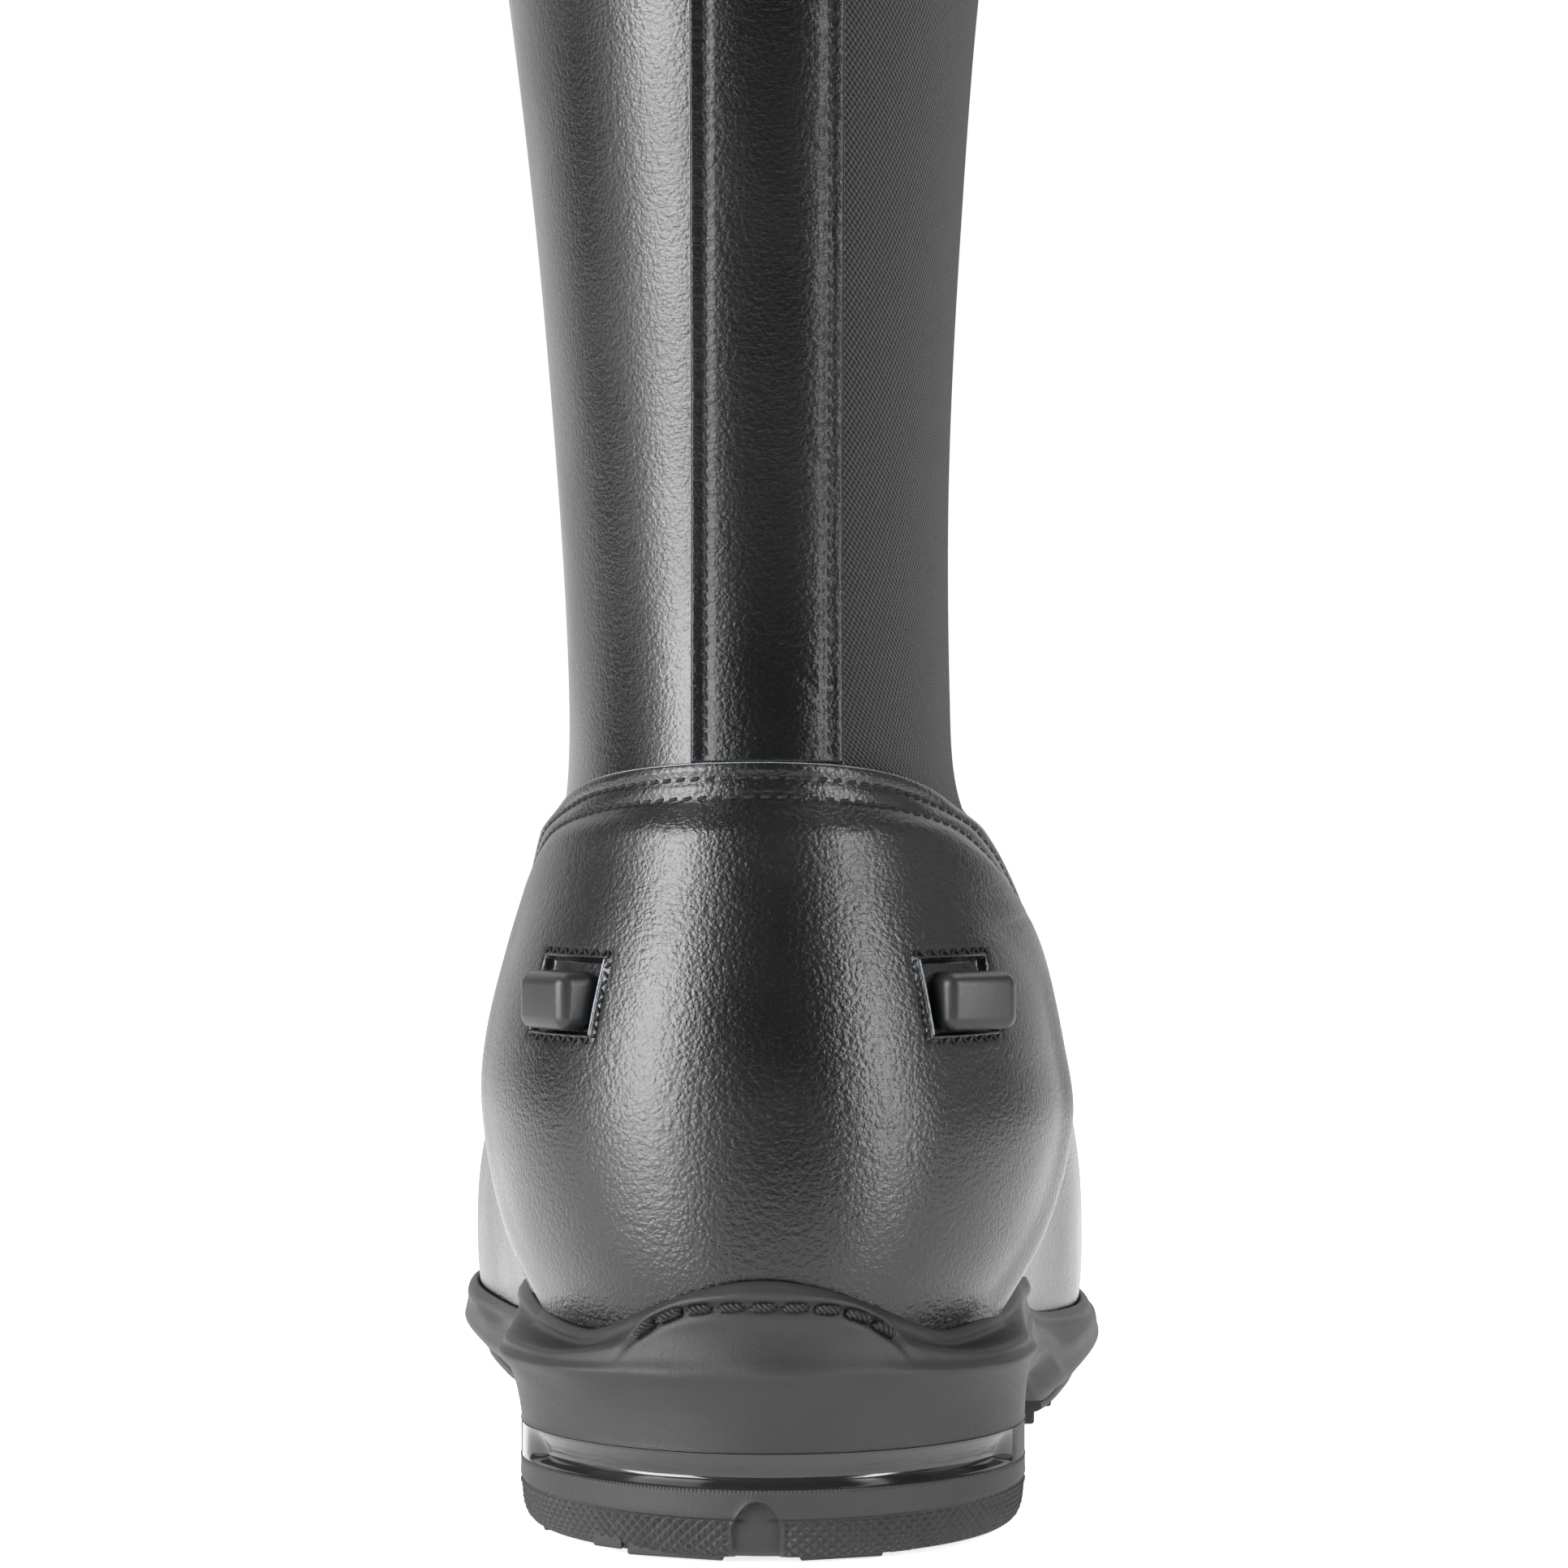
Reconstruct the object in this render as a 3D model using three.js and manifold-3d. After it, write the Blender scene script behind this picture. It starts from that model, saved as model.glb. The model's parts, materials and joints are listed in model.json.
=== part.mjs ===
// A rider's tall boot for the right foot: leather shaft with a full-height elastic panel at the outer back,
// a stitched back strip, moulded heel counter with two spur rests, and a rubber sole unit.
// Millimetres. +Z is up, +Y points to the toe, +X is the outer (lateral) side, -X the inner (medial) side.
// The origin is the middle of the heel's ground contact.

import * as THREE from 'three';
import { mergeVertices } from 'three/addons/utils/BufferGeometryUtils.js';
import Module from 'manifold-3d';

const wasm = await Module();
wasm.setup();

// ---------------------------------------------------------------- driving dimensions

const OUTSOLE_LENGTH = 295;
const HEEL_BACK_Y = -38;
const TOE_TIP_Y = HEEL_BACK_Y + OUTSOLE_LENGTH;
const HEEL_RADIUS = 38;
const TOE_CENTRE_Y = 198;

const LEG_AXIS_Y = 30;
const LEG_ROUNDNESS = 2.2;
const FOOT_ROUNDNESS = 2.5;
const ANKLE_BLEND = 22;

const SHAFT_TOP_Z = 460;
const SHAFT_TOP_RISE = 12;
const SHAFT_FOOT_Z = 92;

// Layers of the upper, as [inner, outer] distances from the outside face of the shaft.
const LEATHER = [-1.4, 0];
const OVERLAY = [0.4, 1.6];
const VAMP_LAYER = [0.6, 1.5];
const STIFFENER_LAYER = [-1.2, 1.4];
const COUNTER_LAYER = [1.7, 2.9];
const PUFF_LAYER = [-1.2, 0];
const TAPE_LAYER = [-2.4, -1.7];
const LINING = [-3.7, -2.7];
const GAP = 0.35;

const STRIP_LEFT_X = -10.2;
const STRIP_RIGHT_X = 11.1;
const STRIP_END_Z = 108.9;
const STRIP_OVERLAP = 5;

const COUNTER_TOP_Z = 108;

const SPUR_REST_Z = 75;
const SPUR_REST_X = 28;
const SPUR_REST_LENGTH = 12;
const SPUR_REST_HEIGHT = 8;
const SPUR_REST_STAND = 4.2;
const SPUR_NECK = { inset: 1.2, clear: 0.3, step: 0.05 };
const SPUR_WINDOW = [14, 10];

// The zip runs straight, up the inner front of the shaft, and faces inward and forward.
const ZIP_BOTTOM = new THREE.Vector3(-20.3, 66.5, 130);
const ZIP_TOP = new THREE.Vector3(-39, 67.8, 450);
const ZIP_UP = ZIP_TOP.clone().sub(ZIP_BOTTOM).normalize();
const ZIP_ACROSS = new THREE.Vector3().crossVectors(ZIP_UP, new THREE.Vector3(-0.8, 0.6, 0)).normalize();
const ZIP_OUT = new THREE.Vector3().crossVectors(ZIP_ACROSS, ZIP_UP).normalize();
// Radians either side of the zip where the wall is flat, and where it is back to its oval.
const ZIP_FLAT = [0.15, 0.65];
const ZIP_RUN_OUT = 20;
const ZIP_CHAIN_END_Z = 430;
const ZIP_OPENING_HALF = 7;
const TAPE_HALF = 13;
const GUARD_HALF = 15;
const COIL_HALF = 2.4;
const SLIDER_Z = 420;
const SLIDER_LENGTH = 10;

const TAB_Z = [438, 452];
const TAB_BASE_LAYER = [0.3, 1.5];
const TAB_LAYER = [1.9, 3.1];
const SNAP_ACROSS = -15;

// The edge of the elastic toward the front, in radians from straight back.
const ELASTIC_FRONT = 1.86;

const HEEL_BREAST_Y = 36;
const CUSHION_Z = [10.1, 14.6];
const CUP_HEEL_BOTTOM_Z = 14.9;
const WAIST_BOTTOM_Z = 11;
const FOREFOOT_BOTTOM_Z = 4.8;
const LUG_HEIGHT = 2.2;
const TREAD_START_Y = 84;
const HEEL_TAB = { crest: 38, valley: 29.3, width: 0.95 };
const THREAD = { crest: 34.6, halfAngle: 0.5, radius: 0.5, stand: 0.75 };
// How far the upper reaches down inside the sole unit's lip.
const CUP_TUCK = 5;

// ---------------------------------------------------------------- curves

// A smooth curve through hand-placed [at, value] points, level beyond both ends.
function curve(points) {
  const slope = points.map((p, i) => {
    const a = points[Math.max(i - 1, 0)];
    const b = points[Math.min(i + 1, points.length - 1)];
    return i === 0 || i === points.length - 1 ? 0 : (b[1] - a[1]) / (b[0] - a[0]);
  });
  return (at) => {
    if (at <= points[0][0]) return points[0][1];
    if (at >= points[points.length - 1][0]) return points[points.length - 1][1];
    let i = 0;
    while (at > points[i + 1][0]) i += 1;
    const span = points[i + 1][0] - points[i][0];
    const t = (at - points[i][0]) / span;
    const [h00, h10] = [(1 + 2 * t) * (1 - t) ** 2, t * (1 - t) ** 2];
    const [h01, h11] = [t * t * (3 - 2 * t), t * t * (t - 1)];
    return h00 * points[i][1] + h10 * span * slope[i] + h01 * points[i + 1][1] + h11 * span * slope[i + 1];
  };
}

const mix = (a, b, t) => a + (b - a) * t;
const smooth = (t) => { const c = Math.min(Math.max(t, 0), 1); return c * c * (3 - 2 * c); };

// Half widths and profile lines of the leg, by height.
const medialHalf = curve([[20, 28], [30, 31.2], [42, 36.2], [58, 38.9], [68, 38.2], [80, 35.3], [95, 31],
  [106, 29.3], [122, 29.3],
  [150, 31], [186, 34.1], [222, 38.3], [270, 45], [320, 51], [370, 53], [420, 51.5], [475, 50]]);
const lateralHalf = curve([[20, 30], [30, 33], [42, 39], [56, 42], [66, 40.6], [80, 37.4], [92, 33.2],
  [104, 28.6], [118, 27.5],
  [150, 27.4], [186, 29], [222, 31.8], [270, 38], [320, 44], [370, 47], [420, 47.5], [475, 47]]);
const backLine = curve([[20, -30], [40, -32.6], [56, -32.4], [74, -29.5], [92, -24.6], [108, -20.6],
  [126, -18.4], [150, -19], [200, -26], [260, -36], [320, -42], [380, -38.5], [440, -31.5], [475, -30]]);
const frontLine = curve([[20, 50], [80, 60], [104, 72], [130, 77], [170, 76.5], [222, 79], [300, 84],
  [400, 86], [475, 86]]);

// Plan half widths of the upper's foot, the centre line that they are measured from, and the instep's height.
const footCentre = curve([[60, 0], [130, -1], [TOE_CENTRE_Y, -6]]);
const footMedial = curve([[-40, 20], [30, 23], [60, 31], [90, 36.5], [120, 42], [150, 47], [175, 46.5],
  [TOE_CENTRE_Y, 42]]);
const footLateral = curve([[-40, 20], [30, 25], [60, 36], [90, 43.5], [120, 52], [145, 55.4], [170, 55.5],
  [TOE_CENTRE_Y, 51]]);
const instep = curve([[-40, 60], [40, 92], [70, 106], [90, 104], [110, 96], [135, 83], [165, 70],
  [200, 59], [230, 51], [260, 44]]);
const footWaist = curve([[-40, 30], [60, 30], [120, 26], [260, 24]]);
const FOOT_FLOOR_Z = -14;
const FOOT_BODY_BACK_Y = 30;
const UPPER_TOE_REACH = TOE_TIP_Y - 5 - TOE_CENTRE_Y;

// Plan half widths of the sole unit's side wall.
const soleMedial = curve([[0, 37.4], [35, 36.4], [65, 36.8], [95, 41], [130, 48.6], [165, 51],
  [TOE_CENTRE_Y, 46.5]]);
const soleLateral = curve([[0, 38.4], [35, 40.4], [65, 43.6], [100, 52.5], [145, 60.2], [170, 61],
  [TOE_CENTRE_Y, 56]]);
const TOE_ROUNDNESS = 2.15;

// ---------------------------------------------------------------- the upper's outside face

function zipAt(z) {
  return ZIP_BOTTOM.clone().lerp(ZIP_TOP, (z - ZIP_BOTTOM.z) / (ZIP_TOP.z - ZIP_BOTTOM.z));
}

function zipAngle(z) {
  const p = zipAt(z);
  return Math.atan2(p.x, LEG_AXIS_Y - p.y);
}

function ovalRadius(theta, z) {
  const [s, c] = [Math.sin(theta), Math.cos(theta)];
  const side = s > 0 ? lateralHalf(z) : medialHalf(z);
  const reach = c > 0 ? LEG_AXIS_Y - backLine(z) : frontLine(z) - LEG_AXIS_Y;
  const norm = (Math.abs(s) / side) ** LEG_ROUNDNESS + (Math.abs(c) / reach) ** LEG_ROUNDNESS;
  return norm ** (-1 / LEG_ROUNDNESS);
}

// The leg's radius about its axis. Angles run from straight back, positive to the outer side.
// Beside the zip the wall is flat and follows the zip's straight line.
function legRadius(theta, z) {
  const oval = ovalRadius(theta, z);
  if (z < ZIP_BOTTOM.z - ZIP_RUN_OUT) return oval;
  let away = Math.abs(theta - zipAngle(z));
  if (away > Math.PI) away = 2 * Math.PI - away;
  if (away > ZIP_FLAT[1]) return oval;
  const hold = smooth((ZIP_FLAT[1] - away) / (ZIP_FLAT[1] - ZIP_FLAT[0]))
    * smooth((z - ZIP_BOTTOM.z + ZIP_RUN_OUT) / ZIP_RUN_OUT);
  const direction = new THREE.Vector3(Math.sin(theta), -Math.cos(theta), 0);
  const toPlane = zipAt(z).sub(new THREE.Vector3(0, LEG_AXIS_Y, z)).dot(ZIP_OUT) / direction.dot(ZIP_OUT);
  return mix(oval, toPlane, hold);
}

function legDistance(p) {
  const [dx, dy] = [p.x, LEG_AXIS_Y - p.y];
  return Math.hypot(dx, dy) - legRadius(Math.atan2(dx, dy), p.z);
}

function footDistance(p) {
  const y = Math.min(p.y, TOE_CENTRE_Y);
  const dx = p.x - footCentre(y);
  const across = Math.abs(dx) / (dx > 0 ? footLateral(y) : footMedial(y));
  const along = Math.max(p.y - TOE_CENTRE_Y, 0) / UPPER_TOE_REACH;
  const plan = (across ** TOE_ROUNDNESS + along ** TOE_ROUNDNESS) ** (1 / TOE_ROUNDNESS);
  const waist = footWaist(p.y);
  const rise = p.z > waist ? (p.z - waist) / (instep(p.y) - waist) : (waist - p.z) / (waist - FOOT_FLOOR_Z);
  const q = (plan ** FOOT_ROUNDNESS + rise ** FOOT_ROUNDNESS) ** (1 / FOOT_ROUNDNESS);
  const reach = Math.hypot(dx, Math.max(p.y - TOE_CENTRE_Y, 0), p.z - waist);
  const behind = Math.max(FOOT_BODY_BACK_Y - p.y, 0);
  return (q < 0.01 ? -20 : reach * (1 - 1 / q)) + behind;
}

function upperDistance(p) {
  const [a, b] = [legDistance(p), footDistance(p)];
  const overlap = Math.max(ANKLE_BLEND - Math.abs(a - b), 0) / ANKLE_BLEND;
  return Math.min(a, b) - overlap * overlap * ANKLE_BLEND / 4;
}

// Where a ray from inside leaves the upper, and the outward normal there.
function leave(origin, direction) {
  let [near, far] = [0, 170];
  for (let i = 0; i < 26; i += 1) {
    const middle = (near + far) / 2;
    const p = origin.clone().addScaledVector(direction, middle);
    if (upperDistance(p) < 0) near = middle; else far = middle;
  }
  const point = origin.clone().addScaledVector(direction, near);
  const step = 0.05;
  const slope = (axis) => upperDistance(point.clone().addScaledVector(axis, step))
    - upperDistance(point.clone().addScaledVector(axis, -step));
  const normal = new THREE.Vector3(slope(new THREE.Vector3(1, 0, 0)), slope(new THREE.Vector3(0, 1, 0)),
    slope(new THREE.Vector3(0, 0, 1))).normalize();
  return { point, normal };
}

function legWall(theta, z) {
  const direction = new THREE.Vector3(Math.sin(theta), -Math.cos(theta), 0);
  return leave(new THREE.Vector3(0, LEG_AXIS_Y, z), direction);
}

// The perimeter of the foot, by u in 0..4: inner side heel to toe, round the toe, outer side back, and
// round the heel.
function perimeter(u) {
  const along = u % 4;
  const toe = new THREE.Vector3(footCentre(TOE_CENTRE_Y), TOE_CENTRE_Y, 0);
  const turn = Math.PI * (along - Math.floor(along));
  if (along < 1) {
    const y = along * TOE_CENTRE_Y;
    return { centre: new THREE.Vector3(footCentre(y), y, 0), out: new THREE.Vector3(-1, 0, 0), y, side: -1 };
  }
  if (along < 2) return { centre: toe, out: new THREE.Vector3(-Math.cos(turn), Math.sin(turn), 0), turn };
  if (along < 3) {
    const y = (3 - along) * TOE_CENTRE_Y;
    return { centre: new THREE.Vector3(footCentre(y), y, 0), out: new THREE.Vector3(1, 0, 0), y, side: 1 };
  }
  return { centre: new THREE.Vector3(), out: new THREE.Vector3(Math.cos(turn), -Math.sin(turn), 0), turn };
}

// ---------------------------------------------------------------- solids

function solid(vertices, triangles) {
  const geometry = new THREE.BufferGeometry();
  const flat = vertices.flatMap((v) => [v.x, v.y, v.z]);
  geometry.setAttribute('position', new THREE.Float32BufferAttribute(flat, 3));
  geometry.setIndex(triangles.flat());
  const merged = mergeVertices(geometry, 1e-3);
  const index = merged.getIndex().array;
  const kept = [];
  for (let i = 0; i < index.length; i += 3) {
    const [a, b, c] = [index[i], index[i + 1], index[i + 2]];
    if (a !== b && b !== c && c !== a) kept.push(a, b, c);
  }
  const at = (i) => new THREE.Vector3().fromBufferAttribute(merged.getAttribute('position'), i);
  let volume = 0;
  for (let i = 0; i < kept.length; i += 3) {
    volume += at(kept[i]).dot(at(kept[i + 1]).cross(at(kept[i + 2])));
  }
  if (volume < 0) kept.reverse();
  merged.setIndex(kept);
  return merged;
}

// A wall between two matching grids of points, closed along its edges. Where the last points of two rows
// are one point, the wall meets itself there and runs on without an edge.
function wall(outer, inner) {
  const [rows, columns] = [outer.length, outer[0].length];
  const ends = outer.map((row) => row[columns - 1]);
  const meets = ends.map((end, i) => ends.some((other, k) => k !== i && other.distanceTo(end) < 1e-3));
  const vertices = [...outer.flat(), ...inner.flat()];
  const at = (layer, i, j) => (layer * rows + i) * columns + j;
  const triangles = [];
  const quad = (a, b, c, d) => triangles.push([a, b, c], [a, c, d]);
  for (let i = 0; i < rows - 1; i += 1) {
    for (let j = 0; j < columns - 1; j += 1) {
      quad(at(0, i, j), at(0, i + 1, j), at(0, i + 1, j + 1), at(0, i, j + 1));
      quad(at(1, i, j), at(1, i, j + 1), at(1, i + 1, j + 1), at(1, i + 1, j));
    }
    quad(at(0, i, 0), at(1, i, 0), at(1, i + 1, 0), at(0, i + 1, 0));
    if (meets[i] && meets[i + 1]) continue;
    quad(at(0, i, columns - 1), at(0, i + 1, columns - 1), at(1, i + 1, columns - 1), at(1, i, columns - 1));
  }
  for (let j = 0; j < columns - 1; j += 1) {
    const last = rows - 1;
    quad(at(0, 0, j), at(0, 0, j + 1), at(1, 0, j + 1), at(1, 0, j));
    quad(at(0, last, j), at(1, last, j), at(1, last, j + 1), at(0, last, j + 1));
  }
  return solid(vertices, triangles);
}

// A closed body through a stack of matching loops, with flat ends fanned from their middles.
function stack(loops) {
  const count = loops[0].length;
  const middle = (loop) => loop.reduce((sum, p) => sum.add(p), new THREE.Vector3()).divideScalar(count);
  const vertices = [...loops.flat(), middle(loops[0]), middle(loops[loops.length - 1])];
  const [first, last] = [vertices.length - 2, vertices.length - 1];
  const top = (loops.length - 1) * count;
  const triangles = [];
  for (let j = 0; j < count; j += 1) {
    const next = (j + 1) % count;
    for (let i = 0; i < loops.length - 1; i += 1) {
      const [a, b] = [i * count + j, i * count + next];
      triangles.push([a, b, b + count], [a, b + count, a + count]);
    }
    triangles.push([first, next, j], [last, top + j, top + next]);
  }
  return solid(vertices, triangles);
}

function grid(rows, columns, at) {
  return Array.from({ length: rows + 1 }, (_, i) => Array.from({ length: columns + 1 }, (__, j) =>
    at(i / rows, j / columns)));
}

function offset(hit, by) {
  return hit.point.clone().addScaledVector(hit.normal, by);
}

function layered(hits, [inner, outer]) {
  return wall(hits.map((row) => row.map((hit) => offset(hit, outer))),
    hits.map((row) => row.map((hit) => offset(hit, inner))));
}

function toManifold(geometry) {
  const bare = geometry.clone();
  bare.deleteAttribute('normal');
  bare.deleteAttribute('uv');
  const merged = mergeVertices(bare, 1e-4);
  const vertProperties = new Float32Array(merged.getAttribute('position').array);
  const triVerts = new Uint32Array(merged.getIndex().array);
  return new wasm.Manifold(new wasm.Mesh({ numProp: 3, vertProperties, triVerts }));
}

function fromManifold(body) {
  const mesh = body.getMesh();
  const geometry = new THREE.BufferGeometry();
  geometry.setAttribute('position', new THREE.BufferAttribute(new Float32Array(mesh.vertProperties), 3));
  geometry.setIndex(new THREE.BufferAttribute(new Uint32Array(mesh.triVerts), 1));
  return geometry;
}

function joined(...geometries) {
  return fromManifold(geometries.map(toManifold).reduce((a, b) => a.add(b)));
}

function cut(geometry, ...cutters) {
  return fromManifold(cutters.map(toManifold).reduce((a, b) => a.subtract(b), toManifold(geometry)));
}

// A box in a local frame of x (across), y (up) and z (out of the wall).
function boxIn(frame, from, to) {
  const box = new THREE.BoxGeometry(to[0] - from[0], to[1] - from[1], to[2] - from[2]);
  box.translate((from[0] + to[0]) / 2, (from[1] + to[1]) / 2, (from[2] + to[2]) / 2);
  return box.applyMatrix4(frame);
}

function frameAt(point, across, up, out) {
  return new THREE.Matrix4().makeBasis(across, up, out).setPosition(point);
}

// ---------------------------------------------------------------- the assembly

const boot = new THREE.Group();
boot.name = 'tall_riding_boot';

const LEATHER_BLACK = { color: 0x1b1c1e, roughness: 0.38 };
const LEATHER_SOFT = { color: 0x232325, roughness: 0.6 };
const RUBBER = { color: 0x3a3a3c, roughness: 0.75 };
const METAL = { color: 0x55565a, roughness: 0.3, metalness: 1 };

function add(name, geometry, look, parent = boot) {
  const mesh = new THREE.Mesh(geometry, new THREE.MeshStandardMaterial({ metalness: 0, ...look }));
  mesh.name = name;
  parent.add(mesh);
  return mesh;
}

// ---------------------------------------------------------------- shaft

// The top line dips at the back and rises to the outer front.
const shaftTop = (theta) => SHAFT_TOP_Z + SHAFT_TOP_RISE * Math.cos(theta - 2.4);
const backAngle = (x) => (z) => Math.atan2(x, LEG_AXIS_Y - backLine(z));
const besideZip = (distance) => (z) => zipAngle(z) + distance / legRadius(zipAngle(z), z);

// The height of the seam where the foot's leather laps over the shaft, by position along the foot.
const throatLine = curve([[10, 94], [30, 96], [60, 110], [92, 126]]);

// The heights of a leg panel's points. All panels share the levels, so that their facets lie parallel.
const LEVELS = [130, 146, 164, 184, 206, 230, 256, 282, 308, 334, 360, 386, 410, 430];
function heights(bottom, top) {
  const ankle = [0, 0.25, 0.5, 0.75].map((t) => mix(bottom, LEVELS[0], t));
  return [...ankle, ...LEVELS, top];
}

// A panel of the leg between two edge angles, from a bottom line up to a top line.
function legPanel({ from, to, bottom, top, layer, rows, levels = heights }) {
  const hits = [];
  for (let i = 0; i <= rows; i += 1) {
    const across = (z) => mix(from(z), to(z), i / rows);
    const column = levels(bottom(across(SHAFT_FOOT_Z)), top(across(SHAFT_TOP_Z)));
    hits.push(column.map((z) => legWall(across(z), z)));
  }
  return layered(hits, layer);
}

// The shaft's leather ends below the seam line, 8 to 12 mm under the foot's leather.
function shaftFoot(theta) {
  const forward = smooth((Math.abs(theta) - 1.5) / 1.4);
  return mix(SHAFT_FOOT_Z, 118, forward);
}

function shaftPanels() {
  const top = (theta) => shaftTop(theta);
  const turn = 2 * Math.PI;
  add('medial_shaft_panel', legPanel({
    from: besideZip(ZIP_OPENING_HALF), to: backAngle(STRIP_LEFT_X + STRIP_OVERLAP), bottom: shaftFoot, top,
    layer: LEATHER, rows: 14 }), LEATHER_BLACK);
  add('elastic_panel', legPanel({
    from: backAngle(STRIP_RIGHT_X - STRIP_OVERLAP), to: () => ELASTIC_FRONT, bottom: shaftFoot, top,
    layer: LEATHER, rows: 12 }), { color: 0x3c3d3f, roughness: 0.9 });
  add('front_shaft_panel', legPanel({
    from: (z) => ELASTIC_FRONT + GAP / legRadius(ELASTIC_FRONT, z),
    to: (z) => besideZip(-ZIP_OPENING_HALF)(z) + turn, bottom: shaftFoot, top,
    layer: LEATHER, rows: 16 }), LEATHER_BLACK);
  add('back_strip', legPanel({
    from: backAngle(STRIP_LEFT_X), to: backAngle(STRIP_RIGHT_X), bottom: () => STRIP_END_Z, top,
    layer: OVERLAY, rows: 4 }), LEATHER_BLACK);
  add('shaft_lining', legPanel({
    from: besideZip(GUARD_HALF), to: (z) => besideZip(-GUARD_HALF)(z) + turn,
    bottom: shaftFoot, top, layer: LINING, rows: 24 }), { color: 0x2b2b2d, roughness: 0.85 });
  add('zip_guard', legPanel({
    from: besideZip(-GUARD_HALF + GAP), to: besideZip(GUARD_HALF - GAP),
    bottom: () => 119, top, layer: LINING, rows: 4 }), LEATHER_SOFT);
}

// The folded edge round the top of the shaft, open at the zip.
function topBinding() {
  const [from, to] = [besideZip(ZIP_OPENING_HALF), besideZip(-ZIP_OPENING_HALF)];
  const edge = (theta) => shaftTop(theta) + GAP;
  const hits = (rise) => (f) => {
    const turned = mix(from(SHAFT_TOP_Z), to(SHAFT_TOP_Z) + 2 * Math.PI, f);
    return legWall(turned, edge(turned) + rise);
  };
  const section = (f) => [offset(hits(0)(f), 0.6), offset(hits(3)(f), 0.6), offset(hits(3)(f), -3.9),
    offset(hits(0)(f), -3.9)];
  const loops = Array.from({ length: 29 }, (_, i) => section(i / 28));
  add('top_binding', stack(loops), LEATHER_BLACK);
}

// ---------------------------------------------------------------- zip and snap tab

// Across points to the back of the boot along the wall, up along the zip, out of the wall.
function zipFrame(z) {
  return frameAt(zipAt(z), ZIP_ACROSS, ZIP_UP, ZIP_OUT);
}

function zip() {
  const chain = zipAt(ZIP_CHAIN_END_Z).distanceTo(ZIP_BOTTOM);
  const frame = zipFrame(ZIP_BOTTOM.z);
  for (const [name, from, to, near, far] of [
    ['front', -COIL_HALF, -GAP / 2, -TAPE_HALF, -0.2], ['rear', GAP / 2, COIL_HALF, 0.2, TAPE_HALF]]) {
    add(`zip_coil_${name}`, boxIn(frame, [from, 0, -1.4], [to, chain, 0.4]),
      { color: 0x202124, roughness: 0.45 });
    add(`zip_tape_${name}`, legPanel({ from: besideZip(near), to: besideZip(far), bottom: () => 122,
      top: () => ZIP_CHAIN_END_Z + 5, layer: TAPE_LAYER, rows: 4 }), { color: 0x242528, roughness: 0.9 });
  }
  add('zip_bottom_stop', boxIn(frame, [-COIL_HALF, -4, -1.4], [COIL_HALF, -GAP, 0.8]), METAL);
  zipSlider();
}

function zipSlider() {
  const frame = zipFrame(SLIDER_Z);
  const half = SLIDER_LENGTH / 2;
  const [side, plateLow, plateHigh] = [3.8, 0.7, 2];
  add('zip_slider', joined(
    boxIn(frame, [-side, -half, plateLow], [side, half, plateHigh]),
    boxIn(frame, [-side, -half, -0.9], [-2.8, half, plateLow + 0.5]),
    boxIn(frame, [2.8, -half, -0.9], [side, half, plateLow + 0.5]),
    boxIn(frame, [-1.2, -half + 0.6, plateHigh - 0.4], [1.2, -half + 1.8, 5]),
    boxIn(frame, [-1.2, half - 1.8, plateHigh - 0.4], [1.2, half - 0.6, 5]),
    boxIn(frame, [-1.2, -half + 0.6, 4], [1.2, half - 0.6, 5])), METAL);
  const [wide, length, low, high] = [3.6, 32, 2.4, 3.6];
  add('zip_pull_tab', cut(
    boxIn(frame, [-wide, -length, low], [wide, 0.6, high]),
    boxIn(frame, [-1.9, -6.4, low - 1], [1.9, -0.6, high + 1])), METAL);
}

function snapTab() {
  const middle = (TAB_Z[0] + TAB_Z[1]) / 2;
  const tab = (from, to, layer, rows) => legPanel({ from: besideZip(from), to: besideZip(to),
    bottom: () => TAB_Z[0], top: () => TAB_Z[1], layer, rows, levels: (low, high) => [low, middle, high] });
  add('snap_tab_base', tab(20, 12, TAB_BASE_LAYER, 3), LEATHER_BLACK);
  add('snap_tab', tab(19.6, -22, TAB_LAYER, 10), LEATHER_BLACK);
  const studAngle = besideZip(SNAP_ACROSS)(middle);
  const hit = legWall(studAngle, middle);
  const up = new THREE.Vector3(0, 0, 1).addScaledVector(hit.normal, -hit.normal.z).normalize();
  const frame = frameAt(hit.point, new THREE.Vector3().crossVectors(up, hit.normal), up, hit.normal);
  const disc = (radius, from, to) => new THREE.CylinderGeometry(radius, radius, to - from, 20)
    .rotateX(Math.PI / 2).translate(0, 0, (from + to) / 2).applyMatrix4(frame);
  add('snap_stud', disc(3.5, ...TAB_BASE_LAYER), METAL);
  add('snap_cap', disc(5, TAB_LAYER[1] + 0.4, TAB_LAYER[1] + 1.8), METAL);
}

// ---------------------------------------------------------------- foot of the upper

// Where the side wall of the sole unit ends, by position along the foot.
const lipSide = curve([[-5, 29.5], [20, 31.5], [45, 29], [80, 20], [115, 16.4], [150, 15.6], [200, 16],
  [257, 19]]);

// The upper's wall over the foot: u runs along the perimeter and t from the sole up to the instep line.
function footWall(u, t, topOf, low) {
  const { centre, out, y = centre.y } = perimeter(u);
  const lean = 0.17 * smooth((y - 8) / 60) * smooth((150 - y) / 60);
  const up = new THREE.Vector3(0, Math.sin(lean), Math.cos(lean));
  const origin = new THREE.Vector3(centre.x, y, footWaist(y));
  const ray = (angle) => leave(origin,
    out.clone().multiplyScalar(Math.cos(angle)).addScaledVector(up, Math.sin(angle)));
  const width = Math.hypot(...ray(0).point.clone().sub(origin).toArray());
  const bottom = Math.atan2(low(centre.y + out.y * width) - origin.z, width);
  const reached = topOf(ray, y);
  return ray(mix(bottom, reached, t));
}

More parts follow.
